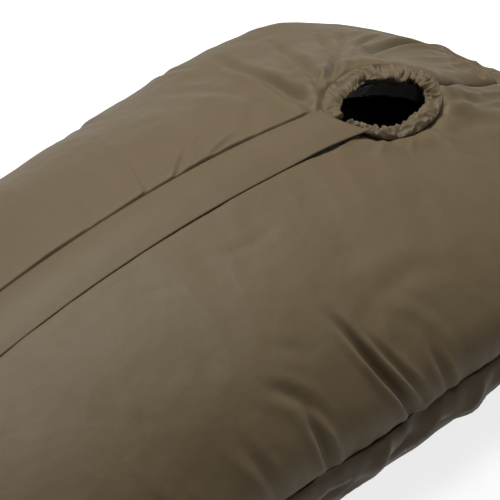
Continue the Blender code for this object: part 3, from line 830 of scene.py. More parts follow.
NEAR_FOLDS = (
    Fold(((0.270, -0.290), (0.281, -0.385), (0.321, -0.494)), 0.0150, 0.0080, V, 0.05, 0.9),
    Fold(((0.292, -0.330), (0.312, -0.410), (0.341, -0.480)), 0.0070, 0.0075, V, 0.05, 0.8),
    Fold(((0.384, -0.405), (0.388, -0.450), (0.396, -0.490)), 0.0055, 0.0075, V, 0.1, 0.9),
    Fold(((0.370, -0.325), (0.404, -0.373), (0.420, -0.440)), 0.0030, 0.0130, R, 0.1, 0.3),
    Fold(((0.138, -0.385), (0.141, -0.440), (0.152, -0.490)), 0.0100, 0.0080, V, 0.1, 0.9),
    Fold(((0.100, -0.325), (0.137, -0.364), (0.165, -0.420)), 0.0045, 0.0110, V, 0.2, 0.3),
    Fold(((0.155, -0.285), (0.201, -0.325)), 0.0018, 0.0110),
    Fold(((0.310, -0.450), (0.331, -0.485)), 0.0030, 0.0060, V, 0.2, 1.0),
    Fold(((0.020, -0.360), (0.035, -0.430), (0.060, -0.490)), 0.0045, 0.0100, V, 0.1, 0.9),
    Fold(((-0.140, -0.350), (-0.125, -0.420), (-0.100, -0.480)), 0.0050, 0.0110, V, 0.1, 0.9),
    Fold(((0.560, -0.400), (0.575, -0.450), (0.600, -0.490)), 0.0045, 0.0100, V, 0.1, 0.9),
    Fold(((0.720, -0.360), (0.740, -0.420), (0.750, -0.480)), 0.0050, 0.0110, V, 0.1, 0.9),
    Fold(((0.190, -0.110), (0.260, -0.135), (0.330, -0.125)), 0.0010, 0.0090),
    Fold(((0.060, -0.100), (0.110, -0.130)), 0.0010, 0.0080),
)
FAR_FOLDS = (
    Fold(((0.400, 0.320), (0.650, 0.280), (0.850, 0.250)), 0.0070, 0.0800, V, 0.3, 0.5),
    Fold(((0.237, 0.056), (0.300, 0.155)), 0.0022, 0.0075, T, 0.9, 0.0),
    Fold(((0.305, 0.056), (0.384, 0.108)), 0.0030, 0.0060, T, 0.9, 0.0),
    Fold(((0.388, 0.056), (0.464, 0.075)), 0.0026, 0.0055, T, 0.8, 0.0),
    Fold(((0.341, 0.060), (0.424, 0.108)), 0.0024, 0.0065, V, 0.7, 0.0),
    Fold(((0.120, 0.058), (0.165, 0.150)), 0.0016, 0.0090, V, 0.9, 0.0),
    Fold(((0.480, 0.060), (0.540, 0.110), (0.620, 0.160)), 0.0020, 0.0110, V, 0.8, 0.0),
    Fold(((0.100, 0.300), (0.180, 0.380), (0.200, 0.470)), 0.0025, 0.0120, V, 0.1, 0.9),
    Fold(((-0.150, 0.330), (-0.120, 0.400), (-0.110, 0.470)), 0.0025, 0.0120, V, 0.1, 0.9),
    Fold(((0.420, 0.330), (0.430, 0.420), (0.450, 0.490)), 0.0030, 0.0120, V, 0.1, 0.9),
    Fold(((0.650, 0.350), (0.640, 0.420), (0.650, 0.480)), 0.0025, 0.0110, V, 0.1, 0.9),
    Fold(((-0.600, 0.250), (-0.580, 0.330), (-0.590, 0.400)), 0.0050, 0.0120, V, 0.1, 0.9),
)


@dataclass(frozen=True)
class SeamRuffle:
    """The side seam: a pinched groove, a puffed roll beside it and puckers that run off it."""

    groove: float = 0.0085
    pinch: float = 0.0080
    roll: float = 0.0040
    roll_at: float = 0.050
    roll_wide: float = 0.034
    pucker: float = 0.0030
    spacing: float = 0.021
    reach: float = 0.028
    swell: float = 0.0016

    def relief(self, along: Array, off: Array, rough: Unevenness, skip: float = 0.0) -> Array:
        """Height at a distance off the seam.

        Args:
            along: place along the seam.
            off: distance from the seam.
            rough: the unevenness that spaces the puckers.
            skip: shift along the lattice, so two seams differ.

        Returns:
            Heights; at the seam itself they are minus the groove's depth.
        """
        drift = along + skip + 0.012 * rough.at(along, off, (0.09, 0.06)) + 0.25 * off
        small = rough.at(drift, off + 3.0, (self.spacing, 0.05))
        large = rough.at(drift, off + 5.0, (self.spacing * 2.7, 0.11))
        held = 1 - fade(off, 0.004)
        out = -self.groove * fade(off, self.pinch) + self.roll * bell(off - self.roll_at, self.roll_wide)
        puckers = self.pucker * small * fade(off, self.reach)
        return out + held * (puckers + self.swell * large * fade(off, 0.080))


class Panels:
    """The outer cloth: two front panels, the base and the foot."""

    def __init__(self, form: BagForm, ring: FaceRing, finishes: Finishes) -> None:
        """Hold the form, the hem and the seams' ruffles."""
        self.form = form
        self.ring = ring
        self.finishes = finishes
        self.rough = Unevenness(11)
        self.side = SeamRuffle()
        self.under = SeamRuffle(roll=0.0065, roll_at=0.032, roll_wide=0.026, pucker=0.0072, spacing=0.024,
                                reach=0.050, swell=0.0095)

    def rows(self, fine: float = 0.0040, coarse: float = 0.0062) -> Array:
        """Places of the rows: fine from the waist up, and crowded where the crown rounds off."""
        form, waist, crowding = self.form, -0.15, 1.9
        body = np.concatenate([np.arange(form.foot, waist, coarse), np.arange(waist, form.shoulder, fine)])
        hood = form.crown - form.shoulder
        u = np.linspace(0.0, 1.0, int(hood / fine * 1.3))
        head = form.shoulder + hood * (1 - (1 - u) ** crowding)
        return np.concatenate([body, head])

    def zipped(self, x: Array) -> Array:
        """1 beside the zip, easing to 0 below its foot and above the opening."""
        return ease((x - self.form.zip_foot + 0.035) / 0.03) * ease((0.800 - x) / 0.04)

    def ring_relief(self, points: Array) -> tuple[Array, Array]:
        """Gathers that run out from the hem, and the groove of the hem's seam.

        Args:
            points: the panel's points.

        Returns:
            Heights, and the share by which other relief is held down there.
        """
        local = self.ring.local(points)
        angle, out = self.ring.polar(local)
        out = out - self.ring.outer(angle)
        turn = angle / (2 * np.pi) + 0.5
        bunch = self.ring.scrunch(angle)
        twist = turn + 0.010 * self.rough.at(out, turn * 9, (0.02, 1.0))
        fine = self.rough.at(twist * 58 % 58, out, (1.0, 0.035), 58)
        broad = self.rough.at(twist * 21 % 21, out + 2, (1.0, 0.08), 21)
        held = 1 - fade(out, 0.003)
        drawn = self.rough.creases(twist * 31 % 31, out + 6, (1.0, 0.16), 31)
        waves = held * (0.0034 * fine * bunch * fade(out, 0.016) + 0.0044 * broad * fade(out, 0.055))
        waves = waves + held * 0.0030 * (drawn - CREASE_MEAN) * bell(out - 0.025, 0.045)
        sink = -0.0080 * bell(np.maximum(out, 0.0), 0.0050)
        roll = 0.0035 * bell(out - 0.026, 0.018)
        raised = self.ring.lift(local) * fade(out, 0.085)
        return waves + sink + roll + raised, fade(out, 0.018)

    def top_relief(self, points: Array, girth: Array, left: Array, side: float) -> Array:
        """Height of one front panel's relief along its normals.

        It adds broad loft, the ruffle of the side and foot seams, the flap's bed with a
        puffed roll on each side of it, the crown seam, the hem's gathers and the named folds.
        Creased noise, less its mean, adds the hood's fan, the pulls from the side seam and the
        streaks. Hollows are held back, so that they stay clear of the lining.

        Args:
            points: the panel's points.
            girth: girth from the ridge.
            left: girth left to the side seam.
            side: -1 for the near panel, 1 for the far panel.

        Returns:
            Heights.
        """
        x, signed = points[..., 0], side * girth
        rough = self.rough
        loft = 0.0028 * rough.at(x, signed + 4, (0.21, 0.17))
        loft += 0.0014 * rough.at(x + 7, signed + 4, (0.085, 0.07))
        loft += (0.0005 * rough.at(x + 3, signed + 4, (0.030, 0.026))
                 + 0.00018 * rough.at(x, signed + 9, (0.012, 0.011)))
        quiet = ease(left / 0.06) * ease((x - self.form.foot) / 0.06)
        ring, near_ring = self.ring_relief(points)
        folds = sum(f.relief(x, signed) for f in HOOD_FOLDS + (NEAR_FOLDS if side < 0 else FAR_FOLDS))
        total = (loft * quiet + folds) * (1 - 0.75 * near_ring) + ring
        zipped = self.zipped(x) * (1 - ease(near_ring * 2.0))
        edge, lip = 0.0470, 0.0472
        bed = zipped * (1 - ease((girth - edge + 0.001) / 0.003))
        roll = zipped * ease((girth - edge) / 0.004) * fade(girth - edge - 0.012, 0.070)
        raised, groove = (0.0036, 0.0) if side < 0 else (0.0034, 0.0032)
        total = total * (1 - bed) - 0.0010 * bed + raised * roll
        total -= 0.0025 * bell(girth - 0.009, 0.003) * self.zipped(x)
        total -= groove * bell(girth - lip, 0.0012) * zipped
        plain = 1 - self.zipped(x)
        wander = 1 + 0.35 * rough.at(x, 0.0, (0.018, 1.0))
        total -= plain * (0.0115 * wander * fade(girth, 0.0036) - 0.0030 * bell(girth - 0.026, 0.016))
        gathers = rough.at(x + 0.4 * girth, girth, (0.020, 0.05))
        total += plain * 0.0016 * gathers * fade(girth, 0.030) * (1 - fade(girth, 0.004))
        hood = ease((x - 0.80) / 0.05) * fade(girth - 0.02, 0.11)
        fan = rough.creases(x + 0.5 * girth, signed, (0.085, 0.026)) - CREASE_MEAN
        total += 0.0026 * fan * hood * (1 - 0.8 * near_ring)
        pulled = rough.creases(x + 0.25 * left + 2 * side, left, (0.040, 0.13)) - CREASE_MEAN
        total += (0.0026 if side < 0 else 0.0010) * pulled * fade(left, 0.070)
        streak = rough.creases(x - 0.5 * signed + 3, signed, (0.060, 0.12)) - CREASE_MEAN
        total += 0.0007 * streak * quiet * (1 - near_ring)
        total *= 1 - fade(left, 0.006)
        deepest = 0.0260
        total = np.where(total < 0, -deepest * np.tanh(-total / deepest), total)
        total += self.side.relief(x, left, rough, side)
        return total + self.side.relief(girth, x - self.form.foot, rough, 2 * side)

    def front(self, side: float, name: str, replaced: Sequence[str]) -> Object:
        """One front panel, with the face opening cut out and the zip slot left open.

        Args:
            side: -1 for the near panel, 1 for the far panel.
            name: name of the piece.
            replaced: CAD nodes that it stands for.

        Returns:
            The panel.
        """
        x, columns, width = self.rows(), 134, 0.49
        slot = 0.0090 * ease((x - self.form.zip_foot + 0.010) / 0.015) * ease((0.790 - x) / 0.02)
        points, girth, left = self.form.top_rows(x, side, slot, columns)
        normals = side * grid_normals(points)
        moved = points + normals * self.top_relief(points, girth, left, side)[..., None]
        moved[..., 2] += 0.0022 * self.rough.at(x[:, None], 1.0, (0.045, 1.0)) * fade(left, 0.035)
        local = self.ring.local(points)
        angle, out = self.ring.polar(local)
        cut = -0.0035
        inside = out < cut
        corners = [inside[:-1, :-1], inside[1:, :-1], inside[1:, 1:], inside[:-1, 1:]]
        keep = ~np.all(corners, axis=0)
        rim = inside.copy()
        rim_local = np.stack([(self.ring.long + cut) * np.cos(angle), (self.ring.short + cut) * np.sin(angle),
                              np.zeros_like(angle)], -1)
        rim_local[..., 2] = self.ring.lift(rim_local) - 0.0035
        moved[rim] = self.ring.world(rim_local)[rim]
        chart = (x, np.linspace(0.0, width, points.shape[1]))
        item = grid_object(name, moved, chart, flip=side < 0, keep=keep)
        return settle(item, self.finishes.shell, replaced)

    def base(self) -> Object:
        """The underside, puffed and crumpled beside its seams and flat where it rests."""
        x = self.rows(0.0048, 0.0075)
        points, off = self.form.base_rows(x, 78)
        normals = -grid_normals(points)
        side = np.sign(points[..., 1] + 1e-9)
        place = points[..., 0]
        rough = self.rough
        relief = self.under.relief(place, off, rough, 6.0 + side)
        relief += self.under.relief(off, place - self.form.foot, rough, 9.0)
        bulge = (rough.at(place + 3 * side, off + 8, (0.080, 0.06))
                 + 0.5 * rough.at(place + 5 * side, off, (0.034, 0.03)))
        relief += 0.0088 * bulge * bell(off - 0.060, 0.050)
        creased = rough.creases(place + 0.7 * off, off + 2 * side, (0.050, 0.045)) - CREASE_MEAN
        relief += 0.0075 * creased * bell(off - 0.05, 0.04)
        relief -= 0.0120 * ease((place - 0.35) / 0.30) * bell(off - 0.09, 0.06)
        crumple = 0.0035 * rough.creases(place, points[..., 1] + 3, (0.11, 0.09)) + 0.0020 * rough.at(
            place, points[..., 1] + 3, (0.04, 0.035)) - 0.0045
        resting = 1 - ease((points[..., 2] - 0.001) / 0.030)
        moved = points + normals * (relief * (1 - resting) + crumple * resting)[..., None]
        moved[..., 2] += 0.0022 * rough.at(place, 1.0, (0.045, 1.0)) * fade(off, 0.035)
        moved[..., 2] = np.maximum(moved[..., 2], 0.0004)
        item = grid_object("base_panel", moved, (x, np.linspace(-0.45, 0.45, points.shape[1])), flip=True)
        # The darker base cloth paints the underside's shade.
        settle(item, self.finishes.base, ("base_shell", "base_batt_chest", "base_batt_leg"))
        return item

    def foot(self) -> Object:
        """The domed foot panel: its outline, shrunk towards the middle and swelling outwards."""
        form, rings, spokes, pleats = self.form, 46, 420, 34
        row = np.array([form.foot])
        top, _, _ = form.top_rows(row, 1.0, np.zeros(1), 100)
        under, _ = form.base_rows(row, 70)
        far = top[0][:-1]
        loop = np.concatenate([far, under[0][::-1][:-1], (far * np.array([1.0, -1.0, 1.0]))[::-1][:-1]])
        run = np.append(0.0, np.cumsum(np.linalg.norm(np.diff(np.vstack([loop, loop[:1]]), axis=0), axis=1)))
        even = np.linspace(0.0, run[-1], spokes, endpoint=False)
        loop = np.stack([np.interp(even, run, np.append(loop[:, k], loop[0, k])) for k in range(3)], -1)
        middle = np.array([form.foot, 0.0, form.ridge(row)[0] / 2])
        turn = np.linspace(0.0, 1.0, rings)[:, None, None] * np.pi / 2
        shrink = np.maximum(np.cos(turn), 0.0005)
        points = middle + (loop[None] - middle) * shrink
        points[..., 0] = form.foot - (form.foot - form.foot_tip) * np.sin(turn)[..., 0]
        normals = grid_normals(points, (False, True))
        normals *= np.sign((normals * (points - middle)).sum(-1, keepdims=True).mean())
        out = np.broadcast_to(turn[..., 0] * 0.16, points.shape[:2])
        turns = even / run[-1] * pleats
        pucker = self.rough.at(turns % pleats, 0.0, (1.0, 1.0), pleats)
        relief = -0.0085 * fade(out, 0.009) + 0.0035 * bell(out - 0.05, 0.03)
        relief = relief + (1 - fade(out, 0.005)) * 0.0045 * pucker * fade(out, 0.05)
        relief = relief + 0.0015 * self.rough.at(points[..., 1], points[..., 2], (0.05, 0.05))
        moved = points + normals * relief[..., None]
        moved[..., 2] = np.maximum(moved[..., 2], 0.0006)
        item = grid_object("foot_panel", moved, (np.linspace(0.0, 0.2, rings), even), (False, True))
        if np.dot(item.data.polygons[900].normal, normals[2, 60]) < 0:
            item.data.flip_normals()
        # The foot takes the base cloth's darker olive, the painted shade of the underside.
        settle(item, self.finishes.base, ("foot_shell", "foot_batt"))
        return item

    def build(self) -> None:
        """Make the four panels."""
        for side, name, hand in ((-1.0, "front_panel_near", "left"), (1.0, "front_panel_far", "right")):
            layers = (f"front_shell_{hand}", f"front_batt_{hand}_chest", f"front_batt_{hand}_leg")
            self.front(side, name, layers)
        self.base()
        self.foot()


class Lining:
    """The quilted lining: top, base, foot, the facing behind the hem and the draught tube."""

    def __init__(self, form: BagForm, ring: FaceRing, finishes: Finishes) -> None:
        """Hold the form and the depth of the lining."""
        self.form = form
        self.ring = ring
        self.finishes = finishes
        self.rough = Unevenness(23)
        self.depth = 0.0290
        self.channel = 0.050

    def quilt(self, x: Array, across: Array) -> Array:
        """Pillows between cross-wise rows of stitching: the root of a sine, with crumple."""
        wave = np.abs(np.sin(np.pi * (x + 0.004 * self.rough.at(across, x, (0.05, 0.3))) / self.channel))
        pucker = 0.0012 * self.rough.at(x, across, (0.02, 0.014)) * (1 - wave)
        return 0.0085 * np.sqrt(wave) + 0.0016 * self.rough.at(x, across + 5, (0.05, 0.035)) + pucker - 0.0010

    def rows(self) -> Array:
        """Places of the rows, finer round the opening."""
        tip = self.form.crown - self.depth
        finer_from = 0.30
        body = np.arange(self.form.foot, finer_from, 0.0100)
        return np.concatenate([body, np.arange(finer_from, tip - 0.004, 0.0055), [tip]])

    def top(self) -> Object:
        """The lining of the front panels in one piece, round the opening and under the zip."""
        x = self.rows()
        start = np.zeros(len(x))
        near, girth, _ = self.form.top_rows(x, -1.0, start, 62, self.depth)
        far = near * np.array([1.0, -1.0, 1.0])
        points = np.concatenate([near[:, ::-1], far[:, 1:]], 1)
        signed = np.concatenate([-girth[:, ::-1], girth[:, 1:]], 1)
        normals = grid_normals(points)
        _, out = self.ring.polar(self.ring.local(points))
        quiet = ease((out - 0.012) / 0.03)
        moved = points - normals * (self.quilt(points[..., 0], signed) * quiet)[..., None]
        inside = (out < 0.016) | ((np.abs(signed) < 0.012) & (np.abs(points[..., 0] - 0.590) < 0.035))
        corners = [inside[:-1, :-1], inside[1:, :-1], inside[1:, 1:], inside[:-1, 1:]]
        item = grid_object("lining_top", moved, (x, np.linspace(-0.45, 0.45, points.shape[1])), flip=True,
                           keep=~np.any(corners, axis=0))
        return settle(item, self.finishes.liner, ("front_liner_left", "front_liner_right"))

    def base(self) -> Object:
        """The lining of the base, pillowed upwards."""
        x = self.rows()
        points, off = self.form.base_rows(x, 44, self.depth)
        normals = grid_normals(points)
        signed = points[..., 1]
        moved = points + normals * (self.quilt(points[..., 0], signed) * ease(off / 0.03))[..., None]
        item = grid_object("lining_base", moved, (x, np.linspace(-0.45, 0.45, points.shape[1])))
        return settle(item, self.finishes.liner, ("base_liner",))

    def foot(self) -> Object:
        """The lining of the foot, a dome inside the foot panel."""
        form, depth = self.form, self.depth
        row = np.array([form.foot])
        top, _, _ = form.top_rows(row, 1.0, np.zeros(1), 40, depth)
        under, _ = form.base_rows(row, 30, depth)
        far = top[0][:-1]
        loop = np.concatenate([far, under[0][::-1][:-1], (far * np.array([1.0, -1.0, 1.0]))[::-1][:-1]])
        middle = np.array([form.foot, 0.0, form.ridge(row)[0] / 2])
        turn = np.linspace(0.0, 1.0, 16)[:, None, None] * np.pi / 2
        points = middle + (loop[None] - middle) * np.maximum(np.cos(turn), 0.0005)
        points[..., 0] = form.foot - (form.foot - form.foot_tip - depth) * np.sin(turn)[..., 0]
        spread = np.linspace(0.0, 1.0, loop.shape[0])
        item = grid_object("lining_foot", points, (np.linspace(0.0, 0.2, 16), spread), (False, True))
        inward = np.array(item.data.polygons[len(loop) * 3].normal)
        if np.dot(inward, middle + np.array([0.3, 0.0, 0.0]) - points[3, 0]) < 0:
            item.data.flip_normals()
        return settle(item, self.finishes.liner, ("foot_liner",))

    def facing(self) -> Object:
        """The black facing that joins the hem's inner edge to the lining."""
        count = 300
        angle = np.linspace(-np.pi, np.pi, count, endpoint=False)[:, None]
        t = np.linspace(0.0, 1.0, 13)[None]
        out = -0.0125 + 0.0345 * t**1.4
        direction = unit(np.concatenate([self.ring.short * np.cos(angle), self.ring.long * np.sin(angle)], 1))
        flat = np.stack([self.ring.long * np.cos(angle) + direction[:, :1] * out,
                         self.ring.short * np.sin(angle) + direction[:, 1:] * out, np.zeros_like(out + angle)], -1)
        world = self.ring.world(flat)
        deep = self.form.height(world[..., 0], world[..., 1], self.depth)
        lining = self.ring.local(np.stack([world[..., 0], world[..., 1], deep], -1))[..., 2]
        turn = angle / (2 * np.pi) + 0.5
        waves = 0.0022 * self.rough.at(turn * 44 % 44, 0.0, (1.0, 1.0), 44) * np.sin(np.pi * t)
        begin = self.ring.lift(flat) - 0.0075
        flat[..., 2] = begin * (1 - ease(t)) + (lining + 0.001) * ease(t) + waves
        item = grid_object("hood_facing", self.ring.world(flat), (np.linspace(0.0, 0.6, count), t[0] * 0.05),
                           (True, False), flip=True)
        return settle(item, self.finishes.liner)

    def draught_tube(self) -> Object:
        """The stuffed tube behind the zip, puckered where it is stitched across."""
        low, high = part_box("draught_tube")
        cap, sides = 0.012, 28
        first, last = low.x + cap, high.x - cap
        x = np.concatenate([np.linspace(low.x, first, 7)[:-1], np.linspace(first, last, 240),
                            np.linspace(last, high.x, 7)[1:]])
        turn = np.linspace(0.0, 2 * np.pi, sides, endpoint=False)[None]
        past = np.maximum(np.maximum(first - x, x - high.x + cap), 0)
        close = np.sqrt(np.clip(1 - past**2 / cap**2, 0.0004, 1))[:, None]
        stitched = np.abs(np.sin(np.pi * x / 0.09))[:, None]
        puff = (0.82 + 0.16 * stitched**0.5 + 0.04 * self.rough.at(x[:, None], turn, (0.03, 0.8))) * close
        y = 0.0275 * np.cos(turn) * (0.96 + 0.04 * stitched) * close
        lift = -0.0460 + 0.0098 * np.sin(turn) * puff
        points = self.form.on_arc(x[:, None], y, lift)
        item = grid_object("draught_tube_puffed", points, (x, np.linspace(0.0, 0.13, sides)), (False, True))
        settle(item, self.finishes.liner, ("draught_tube",))
        return item

    def build(self) -> None:
        """Make the lining's pieces."""
        self.top()
        self.base()
        self.foot()
        self.facing()
        self.draught_tube()


class HoodHem:
    """The gathered casing round the face, the cord inside it and its stitching."""

    def __init__(self, form: BagForm, ring: FaceRing, finishes: Finishes) -> None:
        """Hold the form, the ring and the finishes."""
        self.form = form
        self.ring = ring
        self.finishes = finishes
        self.rough = Unevenness(37)

    def angles(self, count: int) -> Array:
        """Angles round the opening, from one end of the casing to the other."""
        gap = math.asin(self.ring.gap / self.ring.short)
        return np.linspace(-np.pi + gap, np.pi - gap, count)

    def section(self, angle: Array, turn: Array) -> Array:
        """Points of the casing in the opening's frame, before it is pleated.

        The section is half an ellipse from the sewn edge over the top to the inner
        edge, and goes on round and down behind it.

        Args:
            angle: angle round the opening.
            turn: angle round the section, 0 at the sewn edge and pi at the inner edge.

        Returns:
            Points.
        """
        ring = self.ring
        outer, inner = ring.outer(angle), -ring.half
        middle, half = (outer + inner) / 2, (outer - inner) / 2
        turns = angle / (2 * np.pi) + 0.5
        bunch = ring.scrunch(angle)
        lean = turns + 0.012 * self.rough.at(turn, turns * 12, (0.9, 1.0))
        lean = lean + 0.016 * self.rough.at(turns * 11 % 11, 0.0, (1.0, 1.0), 11)
        pleat = self.rough.creases(lean * 40 % 40, turn, (1.0, 1.3), 40)
        small = self.rough.creases(lean * 88 % 88, turn + 4, (1.0, 0.8), 88)
        large = self.rough.at(lean * 17 % 17, turn + 8, (1.0, 1.6), 17)
        rise = ring.rise * (0.85 + 0.45 * large)
        crest = np.sin(np.clip(turn, 0.02, np.pi - 0.02)) ** 0.5
        high = rise * np.sin(turn) + crest * (0.0042 * pleat + 0.0020 * small) * bunch
        high = high - 0.0110 * ease((turn - np.pi) / 0.9)
        rim = ease((turn - 1.6) / 1.3)
        tucked = rim * bunch * (0.0034 * pleat + 0.0015 * small)
        out = middle + half * np.cos(turn) - tucked - rim * 0.0040 * large
        out = out + (1 - ease(turn / 0.9)) * 0.0016 * large * bunch
        out = out + 0.0060 * ease((turn - np.pi) / 0.9)
        direction = unit(np.stack([ring.short * np.cos(angle), ring.long * np.sin(angle)], -1))
        flat = np.stack([ring.long * np.cos(angle) + direction[..., 0] * out,
                         ring.short * np.sin(angle) + direction[..., 1] * out, high], -1)
        flat[..., 2] += ring.lift(flat)
        return flat

    def casing(self) -> Object:
        """The pleated casing, its two ends rounded off beside the zip."""
        rows, columns = 760, 34
        section = np.linspace(-0.75, np.pi + 0.95, columns)
        angle, turn = np.meshgrid(self.angles(rows), section, indexing="ij")
        points = self.section(angle, turn)
        end = np.minimum(np.arange(rows), np.arange(rows)[::-1])[:, None, None] * 0.0008
        close = np.sqrt(np.clip(1 - (1 - np.clip(end / 0.006, 0, 1)) ** 2, 0.0, 1))
        core = points[:, 8:26].mean(axis=1, keepdims=True) - np.array([0.0, 0.0, 0.004])
        points = core + (points - core) * np.maximum(close, 0.02)
        item = grid_object("hood_hem_gathered", self.ring.world(points),
                           (np.linspace(0.0, 0.6, rows), np.linspace(0.0, 0.05, columns)))
        return settle(item, self.finishes.shell, ("hood_hem_casing",))

    def cord(self) -> Object:
        """The braided cord, seen only at the casing's two ends."""
        count, sides = 160, 10
        angle = self.angles(count)
        flat = np.stack([self.ring.long * np.cos(angle), self.ring.short * np.sin(angle),
                         np.zeros_like(angle)], -1)
        flat[:, 2] = self.ring.lift(flat) - 0.0040
        ends = np.minimum(np.arange(count), np.arange(count)[::-1])
        radius = 0.0019 * np.sqrt(np.clip(1 - (1 - np.clip(ends / 1.5, 0, 1)) ** 2, 0.001, 1))
        grid = tube_grid(self.ring.world(flat), radius, sides, np.array([0.28, 0.0, 0.96]))
        chart = (np.linspace(0, 0.6, count), np.linspace(0, 0.012, sides))
        item = grid_object("hood_drawcord_braided", grid, chart, (False, True))
        return settle(item, self.finishes.braid, ("hood_drawcord",))

    def stitching(self) -> Object:
        """Stitches round the casing, just inside its sewn edge."""
        angle = self.angles(500)
        turn = np.full_like(angle, 0.62)
        lower, upper = (self.section(angle, turn + step) for step in (-0.02, 0.02))
        path = self.ring.world((lower + upper) / 2)
        lead = unit(np.gradient(path, axis=0))
        up = unit(np.cross(lead, self.ring.world(lower) - self.ring.world(upper)))
        up *= np.sign(up[:, 2:])
        item = stitches("hood_hem_stitching", path + up * 0.0002, up)
        return settle(item, self.finishes.thread)

    def build(self) -> None:
        """Make the hem, cord and stitches."""
        self.casing()
        self.cord()
        self.stitching()


